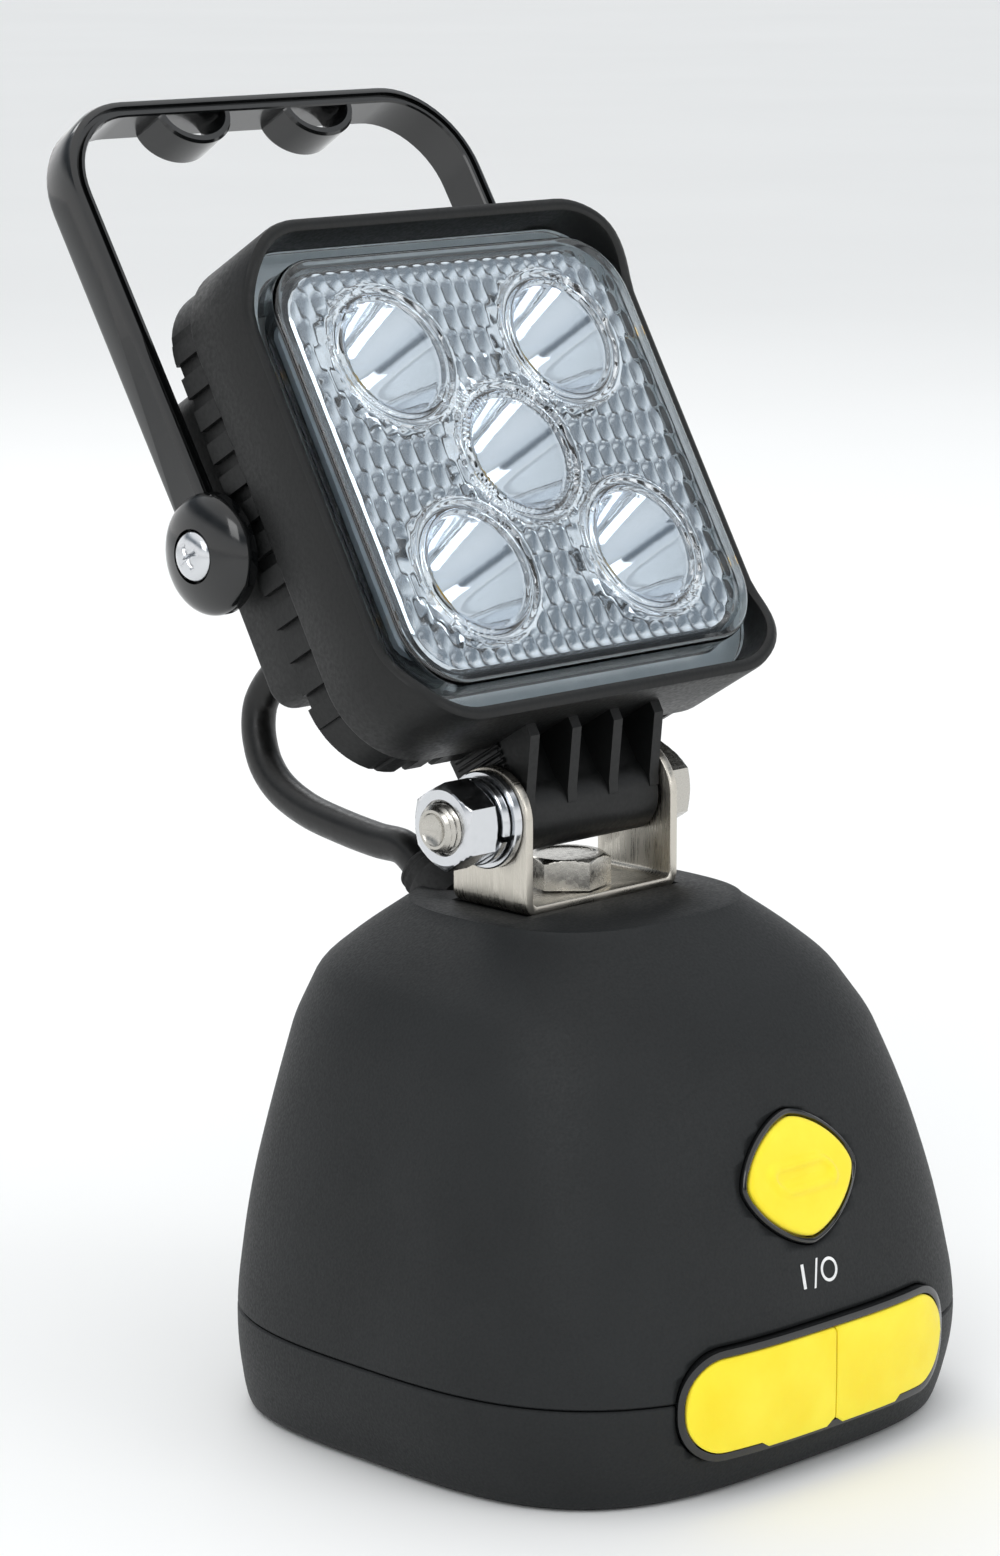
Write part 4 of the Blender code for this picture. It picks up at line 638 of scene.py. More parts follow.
for index, (x, y) in enumerate(SCREW_PLACES, start=1):
    screw_bm = bmesh.new()
    add_turned(screw_bm, [(0, 0.0013), (0.0022, 0.0013), (0.0031, 0.0016), (0.0035, 0.0023), (0.0035, 0.0037),
                          (0.00175, 0.0037), (0.00175, 0.0325), (0, 0.0337)], shifted(along_z, x, y))
    screw = finish_piece(f"pan_screw_{index}", screw_bm, [bright_zinc], "base",
                         [f"tray_screw_{index}"])
    combine(screw, cross_recess(shifted(along_z, x, y), 0.0013, 0.0019, 0.0014, 1))
for index, (x, y) in enumerate(MAGNET_PLACES, start=1):
    magnet_bm = bmesh.new()
    add_turned(magnet_bm, [(0, 0.0022), (0.0022, 0.0022), (0.0044, 0.0004), (0.0145, 0.0004),
                           (0.0150, 0.0009), (0.0150, 0.0064), (0.0145, 0.0069), (0, 0.0069)],
               shifted(along_z, x, y), 64)
    finish_piece(f"pot_magnet_{index}", magnet_bm, [nickel_plate], "base",
                 [f"magnet_{index}"], 25)


# Inside the base. Four cylindrical lithium cells in shrink sleeves lie in a black cradle, and the control
# board stands behind the front with its switch and its two sockets. Only the sockets show, when the yellow
# covers are open.

# Fibreglass board: green solder mask, glossy, with the weave just visible as a fine bump.
board_mask, board_tree, board_shader = new_finish("green_solder_mask", "#1E6A45", 0.32, IOR=1.5,
        Coat_Weight=0.4)
moulded_grain(board_tree, board_shader, 0.8, 0.02, 6.0, ("#185A3A", "#237A50"), (0.26, 0.40))
# Shrink sleeve: thin blue PVC film drawn tight over each cell.
cell_sleeve, sleeve_tree, sleeve_shader = new_finish("shrink_sleeve_pvc", "#2E5FA0", 0.35, IOR=1.53)
moulded_grain(sleeve_tree, sleeve_shader, 3.0, 0.05, 9.0, ("#28548F", "#3469B0"), (0.30, 0.42))
# Black ABS of the cradle, switch and sockets: plain tool finish, half gloss.
black_abs, abs_tree, abs_shader = new_finish("half_gloss_abs", "#151617", 0.34, IOR=1.52)
moulded_grain(abs_tree, abs_shader, 0.8, 0.015, 12.0, ("#121314", "#1A1B1C"), (0.28, 0.40))

for node, finish in (("cell_holder", black_abs), ("control_board", board_mask), ("power_switch", black_abs),
                     ("charge_socket", black_abs), ("usb_socket", black_abs),
                     *[(f"battery_cell_{index}", cell_sleeve) for index in range(1, 5)]):
    frame["nodes"][node].data.materials.clear()
    frame["nodes"][node].data.materials.append(finish)

usb_low, usb_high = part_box("usb_socket")
usb_middle = (usb_low + usb_high) / 2
usb_bm = bmesh.new()
tongue = [(usb_middle.x - 0.0056, usb_middle.z - 0.0004), (usb_middle.x + 0.0056, usb_middle.z - 0.0004),
          (usb_middle.x + 0.0056, usb_middle.z + 0.0012), (usb_middle.x - 0.0056, usb_middle.z + 0.0012)]
add_prism(usb_bm, tongue, usb_low.y + 0.0010, usb_low.y + 0.0070, along_y)
for index in range(4):
    x = usb_middle.x + (index - 1.5) * 0.0025
    contact = [(x - 0.0006, usb_middle.z - 0.0007), (x + 0.0006, usb_middle.z - 0.0007),
               (x + 0.0006, usb_middle.z - 0.0005), (x - 0.0006, usb_middle.z - 0.0005)]
    add_prism(usb_bm, contact, usb_low.y + 0.0014, usb_low.y + 0.0068, along_y, 1)
# Gold flash on the contacts: thin, bright and slightly scratched.
gold_flash, gold_tree, gold_shader = new_finish("gold_flash", "#E2B55A", 0.22, Metallic=1.0)
drifting_metal(gold_tree, gold_shader, (0.3, 0.3, 2.0), 0.004, (0.16, 0.30))
finish_piece("usb_tongue", usb_bm, [black_abs, gold_flash], "base")


# Power button and its bezel. A yellow silicone cap with a raised thumb bar moves in a glossy black rounded-
# diamond bezel snapped into the cover; a white ring and bar printed below it mark on and off.

# Piano-black ABS: polished tool, so it mirrors the sky in a thin line.
gloss_abs, gloss_tree, gloss_shader = new_finish("polished_black_abs", "#0D0E0F", 0.12, IOR=1.53,
        Coat_Weight=0.3)
moulded_grain(gloss_tree, gloss_shader, 3.0, 0.006, 20.0, ("#0B0C0D", "#131415"), (0.09, 0.18))
# Silicone rubber: saturated yellow, matt, slightly translucent, with a soft dusty skin.
silicone, silicone_tree, silicone_shader = new_finish("moulded_silicone", "#FBE32A", 0.55, IOR=1.41,
                                                      Subsurface_Weight=0.12, Subsurface_Scale=0.002,
                                                      Sheen_Weight=0.15)
moulded_grain(silicone_tree, silicone_shader, 0.7, 0.018, 10.0, ("#F8DF20", "#FDE936"), (0.48, 0.62))
# Pad-printed ink: thin, matt, with a slightly broken edge.
white_ink, ink_tree, ink_shader = new_finish("white_pad_print", "#E9EAEA", 0.60)
moulded_grain(ink_tree, ink_shader, 0.4, 0.01, 2.0, ("#DEDFDF", "#F2F2F2"), (0.5, 0.7))
black_ink, black_ink_tree, black_ink_shader = new_finish("black_pad_print", "#2B2A16", 0.60)
moulded_grain(black_ink_tree, black_ink_shader, 0.4, 0.01, 2.0, ("#222112", "#35341C"), (0.5, 0.7))

bezel_bm = bmesh.new()
add_loft(bezel_bm, [ring_at(rounded_diamond(0.0016), -0.0023, on_button),
                    ring_at(rounded_diamond(0.0016), 0.0003, on_button),
                    ring_at(rounded_diamond(0.0014), 0.0006, on_button),
                    ring_at(rounded_diamond(0.0010), 0.0008, on_button),
                    ring_at(rounded_diamond(0.0006), 0.0007, on_button),
                    ring_at(rounded_diamond(0.0003), 0.0003, on_button),
                    ring_at(rounded_diamond(0.0003), -0.0023, on_button)], closed=True)
finish_piece("button_surround", bezel_bm, [gloss_abs], "base", ["button_bezel"])

cap_bm = bmesh.new()
cap_rings = [ring_at(rounded_diamond(0.0012), -0.0035, on_button),
             ring_at(rounded_diamond(0.0012), -0.0026, on_button),
             ring_at(rounded_diamond(), -0.0026, on_button), ring_at(rounded_diamond(), 0.0004, on_button),
             ring_at(rounded_diamond(-0.0002), 0.0008, on_button),
             ring_at(rounded_diamond(-0.0007), 0.0011, on_button)]
CAP_RINGS = 26
THUMB_HALF = (0.0058, 0.0016)


def cap_height(u, v):
    """The cap's gentle crown, with a long bar raised out of a shallow dish round it."""
    crown = 0.0011 + 0.0003 * (1 - min((u / 0.015) ** 2 + (v / 0.012) ** 2, 1))
    away = math.hypot(max(abs(u + 0.5 * v) - THUMB_HALF[0], 0), abs(v)) / THUMB_HALF[1]
    bar = 0.0008 * max(0.0, 1 - abs(away - 1.6) / 0.75) ** 0.8
    return crown + bar - 0.0003 * max(0.0, 1 - away / 1.2)


for step in range(CAP_RINGS - 1, 0, -1):
    share = step / CAP_RINGS
    cap_rings.append([on_button(u * share, v * share, cap_height(u * share, v * share))
                      for u, v in rounded_diamond(-0.0007)])
add_loft(cap_bm, cap_rings)
finish_piece("button_cap", cap_bm, [silicone], "power_button", ["power_button"], 60)


def printed_on_front(name, strokes, ink, body, lift, height):
    """Ink as flat strokes just above the surface: closed outlines of (x, z) round a height."""
    bm = bmesh.new()
    for stroke, hole in strokes:
        rings = []
        for outline, out in ((stroke, lift), (stroke, lift + 0.00006), (hole, lift + 0.00006), (hole, lift)):
            if outline:
                rings.append([front_point(x, height + z, out) for x, z in outline])
        add_loft(bm, rings, closed=bool(hole))
    return finish_piece(name, bm, [ink], body)


mark_height = 0.0405
ring_mark = (circle(0.0024, 0.0035, 0, 32), circle(0.0018, 0.0035, 0, 32))
bar_mark = ([(-0.0044, -0.0024), (-0.0036, -0.0024), (-0.0036, 0.0024), (-0.0044, 0.0024)], None)
slash_mark = ([(-0.0014, -0.0028), (-0.0009, -0.0028), (0.0007, 0.0028), (0.0002, 0.0028)], None)
printed_on_front("on_off_mark", [ring_mark, bar_mark, slash_mark], white_ink, "base",
                 0.00005, mark_height)


# Socket covers. Two yellow silicone covers fill one glossy black stadium-shaped bezel; each is hinged at the
# middle split and has a finger lip that laps over the bezel's lower edge.

surround = finish_piece("port_surround", port_block(PORT_END, PORT_HALF, PORT_RADIUS, 0.0005, -0.0050),
                        [gloss_abs], "base", ["port_bezel"])
COVER_HALF = 0.0098
combine(surround, port_block(0.0376, COVER_HALF, COVER_HALF * 0.92, 0.004, -0.0030))
for name in ("charge_socket", "usb_socket"):
    low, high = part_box(name)
    window_bm = bmesh.new()
    window = [(low.x - GAP, low.z - GAP), (high.x + GAP, low.z - GAP), (high.x + GAP, high.z + GAP),
              (low.x - GAP, high.z + GAP)]
    add_prism(window_bm, window, -0.0700, -0.0500, along_y)
    combine(surround, window_bm)
soften_edges(surround, 0.0003)

COVER_SPLIT = 0.0015
COVER_FRONT = 0.0008
COVER_BACK = -0.0026
LIP_DROP = 0.0011


def cover_rings_of(left, right, radii, lip):
    """Sections across a cover along X: straight back edges, rounded front edges, and any lip."""
    half = COVER_HALF - GAP
    rings = []
    for x, top in port_stations(left, right, half, *radii):
        drop = LIP_DROP if lip[0] < x < lip[1] else 0.0
        edge = min(0.0007, top * 0.5)
        ring = []
        for z, out in ((-top, COVER_BACK), (-top, 0.00055 if drop else 0.0),
                       (-top - drop, 0.00055 if drop else 0.0001), (-top - drop, COVER_FRONT - 0.0001),
                       (-top - drop + edge * 0.4, COVER_FRONT + 0.00005),
                       (-top - drop + edge, COVER_FRONT + 0.0001), (0, COVER_FRONT + 0.00018),
                       (top - edge, COVER_FRONT + 0.0001), (top - edge * 0.3, COVER_FRONT - 0.0002),
                       (top, COVER_FRONT - 0.0007), (top, COVER_BACK)):
            ring.append(front_point(x, PORT_HEIGHT, out) + Vector((0, 0, z)))
        rings.append(ring)
    return rings


end = 0.0376 - GAP
for name, left, right, radii, lip, body in (
        ("charge_cover", -end, COVER_SPLIT - 0.0002, (0.0088, 0.0004), (-0.0190, 0.0008), "charge_flap"),
        ("usb_cover", COVER_SPLIT + 0.0002, end, (0.0004, 0.0088), (0.0022, 0.0215), "usb_flap")):
    cover_bm = bmesh.new()
    add_loft(cover_bm, cover_rings_of(left, right, radii, lip))
    finish_piece(name, cover_bm, [silicone], body, [body], 50)

socket_mark = [(circle(0.0016, -0.0050, 0, 28), circle(0.0013, -0.0050, 0, 28)),
               (circle(0.0006, -0.0050, 0, 20), None)]
printed_on_front("charge_mark", socket_mark, black_ink, "charge_flap",
                 COVER_FRONT + 0.00012, 0.0245)


def box_outline(low_u, high_u, low_v, high_v):
    return [(low_u, low_v), (high_u, low_v), (high_u, high_v), (low_u, high_v)]


port_mark = [(box_outline(0.0045, 0.0085, -0.0011, 0.0011), box_outline(0.0048, 0.0082, -0.0008, 0.0008)),
             (box_outline(0.0053, 0.0077, 0.0000, 0.0004), None)]
printed_on_front("usb_mark", port_mark, black_ink, "usb_flap", COVER_FRONT + 0.00012,
                 0.0245)


# Bracket. A U of 2 mm stainless strip: sheared, pressed over a 3 mm radius, both ears rounded and punched
# together. It stands in a shallow pocket that stops it turning.

BRACKET_SHEET = 0.0020
BRACKET_BEND = 0.0030

# Brushed stainless strip: warm grey, ground along its length before bending, so the lines run across the
# ears.
brushed_stainless, steel_tree, steel_shader = new_finish("brushed_stainless_strip", "#C9C4BA", 0.28,
        Metallic=1.0)
drifting_metal(steel_tree, steel_shader, (9.0, 0.35, 9.0), 0.010, (0.20, 0.38))

bracket_half = BRACKET_WIDTH / 2
ear_top = pivot.z + BRACKET_DEPTH / 2
inner_bend = BRACKET_BEND - BRACKET_SHEET + GAP
inner_half = bracket_half - BRACKET_SHEET
bracket_outline = [(-bracket_half, ear_top), *arc(-bracket_half + BRACKET_BEND, bracket_low + BRACKET_BEND,
                                                  BRACKET_BEND, 180, 270, 10),
                   *arc(bracket_half - BRACKET_BEND, bracket_low + BRACKET_BEND, BRACKET_BEND, 270, 360, 10),
                   (bracket_half, ear_top), (inner_half, ear_top), *arc(inner_half - inner_bend,
        bracket_low + BRACKET_SHEET + inner_bend, inner_bend, 0, -90, 6), *arc(-inner_half + inner_bend,
        bracket_low + BRACKET_SHEET + inner_bend, inner_bend, 270, 180, 6), (-inner_half, ear_top)]
bracket_bm = bmesh.new()
add_prism(bracket_bm, bracket_outline, -BRACKET_DEPTH / 2, BRACKET_DEPTH / 2, shifted(along_y, y=BRACKET_Y))
u_bracket = finish_piece("u_bracket", bracket_bm, [brushed_stainless], "base", ["bracket"])
on_bolt = shifted(along_x, y=BRACKET_Y, z=pivot.z)
trim_bm = bmesh.new()
ear_trim = [(-BRACKET_DEPTH, 0), *arc(0, 0, BRACKET_DEPTH / 2, 180, 0, 32), (BRACKET_DEPTH, 0),
            (BRACKET_DEPTH, BRACKET_DEPTH), (-BRACKET_DEPTH, BRACKET_DEPTH)]
add_prism(trim_bm, ear_trim, -bracket_half - 0.002, bracket_half + 0.002, on_bolt)
combine(u_bracket, trim_bm)
bore_bm = bmesh.new()
add_prism(bore_bm, circle(0.0053), -bracket_half - 0.003, bracket_half + 0.003, on_bolt)
combine(u_bracket, bore_bm)
bore_bm = bmesh.new()
add_prism(bore_bm, circle(0.0053, 0, BRACKET_Y), bracket_low - 0.002, bracket_low + 0.004, along_z)
combine(u_bracket, bore_bm)
soften_edges(u_bracket, 0.00025)


# Bolts, nuts and washers. M10 hexagon bolts of plain stainless with a 30 degree chamfer on the head, nuts and
# washers in bright zinc; the threads are rolled at 1.5 mm pitch, and the tilt bolt's cupped tip stands out of
# its nut.

BOLT_RADIUS = 0.0050
THREAD_PITCH = 0.0015
THREAD_DEPTH = 0.0007
HEX_CORNER = 0.0160 / math.sqrt(3)
HEX_CHAMFER = math.tan(math.radians(30))
HEX_POINTS = 72

# Stainless of the bolts: cold forged and tumbled, smoother than the strip and a little dark in its hollows.
tumbled_stainless, tumbled_tree, tumbled_shader = new_finish("tumbled_stainless", "#BEBBB4", 0.24,
        Metallic=1.0)
drifting_metal(tumbled_tree, tumbled_shader, (1.1, 1.1, 1.1), 0.014, (0.17, 0.34))


def hex_ring(place, turn, level, cone):
    """Hexagon ring at a level, cut round where the chamfer's cone is smaller."""
    ring = []
    for step in range(HEX_POINTS):
        angle = 2 * math.pi * step / HEX_POINTS
        across = (angle + math.pi / 6) % (math.pi / 3) - math.pi / 6
        radius = min(HEX_CORNER * math.cos(math.pi / 6) / math.cos(across), cone)
        ring.append(place(radius * math.cos(angle + turn), radius * math.sin(angle + turn), level))
    return ring


def hex_rings(place, turn, low, high, low_chamfer, high_chamfer):
    """Rings of a hexagonal block along its axis, with a chamfer at either end if it has one."""
    rings = []
    steps = 5
    flat = HEX_CORNER * math.cos(math.pi / 6) - 0.0003
    for end_level, sign, chamfered in ((low, 1, low_chamfer), (high, -1, high_chamfer)):
        part = []
        for step in range(steps + 1):
            cone = flat + (HEX_CORNER - flat) * step / steps if chamfered else HEX_CORNER
            part.append(hex_ring(place, turn, end_level + sign * (cone - flat) * HEX_CHAMFER if chamfered else
                                 end_level + sign * 0.00002 * step, cone))
        rings += part if sign > 0 else part[::-1]
    return rings


def threaded_rod(bm, place, low, high, towards, finish=0):
    """A rolled thread from low to high, its radius following the helix; the tip is chamfered and cupped."""
    sides = 40
    count = max(2, int(abs(high - low) / THREAD_PITCH * 8))
    sign = 1 if towards > 0 else -1
    rings = []
    for step in range(count + 1):
        level = low + (high - low) * step / count
        ring = []
        for side in range(sides):
            phase = (level / THREAD_PITCH - side / sides) % 1.0
            ridge = min(1.0, 2.6 * min(phase, 1 - phase))
            radius = BOLT_RADIUS - THREAD_DEPTH * (1 - ridge)
            from_end = abs((high if towards > 0 else low) - level)
            radius = min(radius, BOLT_RADIUS - 0.0010 + from_end)
            angle = 2 * math.pi * side / sides
            ring.append(place(radius * math.cos(angle), radius * math.sin(angle), level))
        rings.append(ring)
    tip = high if towards > 0 else low
    cup = [[place(r * math.cos(2 * math.pi * side / sides), r * math.sin(2 * math.pi * side / sides),
                  tip - sign * depth) for side in range(sides)] for r, depth in ((0.0034, 0.0),
            (0.0030, 0.0004), (0.0012, 0.0011))]
    rings = rings + cup if towards > 0 else cup[::-1] + rings
    add_loft(bm, rings, finish=finish)


def hex_bolt(name, place, turn, seat, tip, node):
    """Head from seat on along the axis, shank back to tip."""
    bm = bmesh.new()
    rings = hex_rings(place, turn, seat, seat + 0.0064, False, True)
    crown = [[place(r * math.cos(2 * math.pi * step / HEX_POINTS + turn),
                    r * math.sin(2 * math.pi * step / HEX_POINTS + turn), seat + 0.0064 - drop)
              for step in range(HEX_POINTS)] for r, drop in ((0.0066, 0.0), (0.0062, 0.0003),
                                                             (0.0010, 0.0003))]
    add_loft(bm, rings + crown)
    threaded_rod(bm, place, tip, seat + 0.001, -1)
    return finish_piece(name, bm, [tumbled_stainless], "base", [node], 30)


def hex_nut(name, place, turn, low, high, node):
    bm = bmesh.new()
    bore = BOLT_RADIUS + 0.0001
    rings = hex_rings(place, turn, low, high, True, True)
    inner = [[place(r * math.cos(2 * math.pi * step / HEX_POINTS + turn),
                    r * math.sin(2 * math.pi * step / HEX_POINTS + turn), level)
              for step in range(HEX_POINTS)] for r, level in ((bore + 0.0007, high), (bore, high - 0.0007),
            (bore, low + 0.0007), (bore + 0.0007, low))]
    add_loft(bm, rings + inner, closed=True)
    return finish_piece(name, bm, [bright_zinc], "base", [node], 30)


def flat_washer(name, place, low, high, radius, node):
    bm = bmesh.new()
    edge = 0.0003
    add_turned(bm, [(0.0053, low + edge), (0.0053, high - edge), (0.0056, high), (radius - edge, high),
                    (radius, high - edge), (radius, low + edge), (radius - edge, low), (0.0056, low)], place,
               72, True)
    return finish_piece(name, bm, [bright_zinc], "base", [node], 25)


washer_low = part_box("pivot_washer_flat")[0].x
washer_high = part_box("pivot_washer_flat")[1].x
flat_washer("tilt_washer", on_bolt, washer_low, washer_high, 0.0100, "pivot_washer_flat")
spring_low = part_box("pivot_washer_spring")[0].x
SPLIT_TURN = math.radians(200)
SPRING_SWEEP = math.radians(352)
SPRING_STEPS = 60
SPRING_RISE = 0.0004
SPRING_BORE = 0.0054
SPRING_RADIUS = 0.0089
SPRING_THICK = 0.0020
SPRING_EDGE = 0.00025
spring_profile = [(SPRING_BORE, 0.0), (SPRING_RADIUS - SPRING_EDGE, 0.0), (SPRING_RADIUS, SPRING_EDGE),
                  (SPRING_RADIUS, SPRING_THICK - SPRING_EDGE), (SPRING_RADIUS - SPRING_EDGE, SPRING_THICK),
                  (SPRING_BORE, SPRING_THICK)]
spring_bm = bmesh.new()
spring_sections = []
for step in range(SPRING_STEPS + 1):
    share = step / SPRING_STEPS
    angle = SPLIT_TURN + SPRING_SWEEP * share
    rise = SPRING_RISE * share
    section = []
    for r, level in spring_profile:
        section.append(on_bolt(r * math.cos(angle), r * math.sin(angle), spring_low + rise + level))
    spring_sections.append(section)
add_loft(spring_bm, spring_sections)
finish_piece("tilt_spring_washer", spring_bm, [bright_zinc], "base", ["pivot_washer_spring"],
             25)
nut_low, nut_high = [corner.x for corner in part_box("pivot_nut")]
hex_nut("tilt_nut", on_bolt, 0.0, nut_low, nut_high, "pivot_nut")
bolt_seat = bracket_half + GAP
hex_bolt("tilt_bolt", on_bolt, 0.0, bolt_seat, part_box("pivot_bolt")[0].x, "pivot_bolt")

on_base_bolt = shifted(along_z, y=BRACKET_Y)
base_turn = math.radians(46)
nut_low, nut_high = [corner.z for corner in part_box("base_nut")]
hex_nut("bracket_nut", on_base_bolt, base_turn, nut_low, nut_high, "base_nut")
washer_low, washer_high = [corner.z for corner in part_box("base_washer")]
flat_washer("bracket_washer", on_base_bolt, washer_low, washer_high, 0.0120, "base_washer")
hex_bolt("bracket_bolt", on_base_bolt, base_turn, bracket_low + BRACKET_SHEET + GAP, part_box("base_bolt")[0].z,
         "base_bolt")


# Base cable gland. A soft black rubber grommet with two grip rings, pushed through the cover behind the
# bracket.

# Rubber: dead matt black with a faint grey bloom.
moulded_rubber, rubber_tree, rubber_shader = new_finish("moulded_rubber", "#1A1A1A", 0.72, IOR=1.5)
moulded_grain(rubber_tree, rubber_shader, 0.9, 0.02, 8.0, ("#161616", "#232323"), (0.62, 0.80))

gland_bm = bmesh.new()
add_turned(gland_bm, [(0, -0.0120), (0.0062, -0.0120), (0.0062, -0.0050), (0.0060, -0.0044),
                      (0.0056, -0.0042), (0.0056, -0.0034), (0.0058, -0.0030), (0.0058, -0.0024),
                      (0.0053, -0.0020), (0.0053, -0.0013), (0.0055, -0.0010), (0.0054, -0.0004),
                      (0.0048, 0.0), (0, 0)], on_base_gland, 40)
finish_piece("base_grommet", gland_bm, [moulded_rubber], "base", ["base_cable_gland"])


# Lamp housing. One pressure die casting in aluminium, powder coated black: a deep hood round the lens whose
# sides are scooped back, a smooth band, a toothed and finned cooling body, a plain box for the driver, and a
# ribbed lug.

HEAD_CORNER = 0.0180
RIM_WALL = 0.0030
BAND_DEPTH = 0.0220
BODY_DEPTH = 0.0310
BODY_STEP = 0.0012
BOX_DEPTH = 0.0420
LENS_LEDGE = 0.0120
CAVITY_HALF = 0.0460
CAVITY_FLOOR = 0.0249
RECESS_HALF = HEAD_HALF - RIM_WALL
BODY_HALF = HEAD_HALF - BODY_STEP
LUG_HALF_WIDTH = 0.0194
LUG_TOP = 0.0152

# Powder coat over casting: near black, satin, with the slight orange peel of baked powder, drawn at 1.1 mm.
powder_coat, coat_tree, coat_shader = new_finish("black_powder_coat", "#0C0D0D", 0.46, IOR=1.5,
                                                Specular_IOR_Level=0.35)
moulded_grain(coat_tree, coat_shader, 0.9, 0.040, 16.0, ("#090A0A", "#101111"), (0.38, 0.54))


def rim_depth(v):
    """The rim's edge is scooped back along the lamp's sides, between the top and bottom hoods."""
    share = min(max((abs(v) / HEAD_HALF - 0.60) / 0.34, 0.0), 1.0)
    return 0.0050 * (1 - share * share * (3 - 2 * share))


def rounded_square(half_width, half_height, radius, corner_steps=12, side_steps=1):
    """Points of a square with round corners about its middle, with extra points along its sides."""
    u = half_width - radius
    v = half_height - radius
    corners = [arc(u, v, radius, 0, 90, corner_steps), arc(-u, v, radius, 90, 180, corner_steps),
               arc(-u, -v, radius, 180, 270, corner_steps), arc(u, -v, radius, 270, 360, corner_steps)]
    points = []
    for corner, after in zip(corners, corners[1:] + corners[:1]):
        points += corner
        start, stop = Vector(corner[-1]), Vector(after[0])
        for step in range(1, side_steps):
            points.append(tuple(start + (stop - start) * step / side_steps))
    return points


def rim_ring(half, radius, inset, back):
    outline = rounded_square(half - inset, half - inset, max(radius - inset, 0.001), 14, 24)
    full = rounded_square(half, half, radius, 14, 24)
    return [on_head(u, v, rim_depth(whole[1]) + back) for (u, v), whole in zip(outline, full)]


def plain_ring(half, radius, depth):
    return ring_at(rounded_square(half, half, radius, 14, 24), depth, on_head)


housing_rings = [
    plain_ring(BODY_HALF - 0.0006, HEAD_CORNER - BODY_STEP - 0.0006, BODY_DEPTH),
    plain_ring(BODY_HALF, HEAD_CORNER - BODY_STEP, BODY_DEPTH - 0.0006),
    plain_ring(BODY_HALF, HEAD_CORNER - BODY_STEP, BAND_DEPTH + 0.0006),
    plain_ring(HEAD_HALF - 0.0005, HEAD_CORNER - 0.0005, BAND_DEPTH + 0.0004),
    plain_ring(HEAD_HALF, HEAD_CORNER, BAND_DEPTH - 0.0004),
    plain_ring(HEAD_HALF, HEAD_CORNER, 0.0120),
    rim_ring(HEAD_HALF, HEAD_CORNER, 0.0, 0.0012),
    rim_ring(HEAD_HALF, HEAD_CORNER, 0.0002, 0.0005),
    rim_ring(HEAD_HALF, HEAD_CORNER, 0.0008, 0.0001),
    rim_ring(HEAD_HALF, HEAD_CORNER, 0.0015, 0.0),
    rim_ring(HEAD_HALF, HEAD_CORNER, 0.0022, 0.0001),
    rim_ring(HEAD_HALF, HEAD_CORNER, 0.0028, 0.0005),
    rim_ring(HEAD_HALF, HEAD_CORNER, RIM_WALL, 0.0012),
    plain_ring(RECESS_HALF, HEAD_CORNER - RIM_WALL, LENS_LEDGE),
    plain_ring(CAVITY_HALF, HEAD_CORNER - 2 * RIM_WALL, LENS_LEDGE),
    plain_ring(CAVITY_HALF, HEAD_CORNER - 2 * RIM_WALL, CAVITY_FLOOR),
]
housing_bm = bmesh.new()
add_loft(housing_bm, housing_rings)
lamp_housing = finish_piece("lamp_housing", housing_bm, [powder_coat], "head",
                            ["head_housing"], 35)

BOX_HALF_WIDTH = 0.0515
BOX_HALF_HEIGHT = 0.0340
back_bm = bmesh.new()
box_rings = []
for inset, depth in ((0.0, BODY_DEPTH - 0.003), (0.0, BOX_DEPTH - 0.0010), (0.0003, BOX_DEPTH - 0.0003),
                     (0.0010, BOX_DEPTH)):
    outline = rounded_square(BOX_HALF_WIDTH - inset, BOX_HALF_HEIGHT - inset, 0.0050 - inset, 8)
    box_rings.append(ring_at(outline, depth, on_head))
add_loft(back_bm, box_rings)
combine(lamp_housing, back_bm, "UNION")


def row_of(pitch, half):
    """Evenly spaced places about the middle that fit within half on each side."""
    count = 1 + int(2 * half / pitch)
    return [(index - (count - 1) / 2) * pitch for index in range(count)]


fins_bm = bmesh.new()
fin_reach = HEAD_HALF - 0.0075
for x in row_of(0.0090, HEAD_HALF - 0.0160):
    fin_sections = []
    for half, depth in ((0.0012, BODY_DEPTH - 0.002), (0.0011, 0.0346), (0.0007, 0.0350)):
        reach = fin_reach - (0.0006 if depth > 0.0348 else 0.0)
        fin_sections.append(ring_at(box_outline(x - half, x + half, -reach, reach), depth, on_head))
    add_loft(fins_bm, fin_sections)
combine(lamp_housing, fins_bm, "UNION")

grooves_bm = bmesh.new()
TOOTH_HALF = 0.0015
for middle in row_of(0.0073, HEAD_HALF - 0.0112):
    for side in (-1, 1):
        near, far = sorted((side * (BODY_HALF - 0.0016), side * (BODY_HALF + 0.002)))
        blocks = [box_outline(near, far, middle - TOOTH_HALF, middle + TOOTH_HALF)]
        if side > 0 or abs(middle) > LUG_HALF_WIDTH + 2 * TOOTH_HALF:
            blocks.append(box_outline(middle - TOOTH_HALF, middle + TOOTH_HALF, near, far))
        for block in blocks:
            add_prism(grooves_bm, block, BAND_DEPTH + 0.001, BODY_DEPTH + 0.001, on_head)
combine(lamp_housing, grooves_bm)


def on_lug(u, v, w):
    """u back and v up from the tilt bolt, in the head's frame, and w along the bolt."""
    return pivot + head_turn @ Vector((w, u, v))


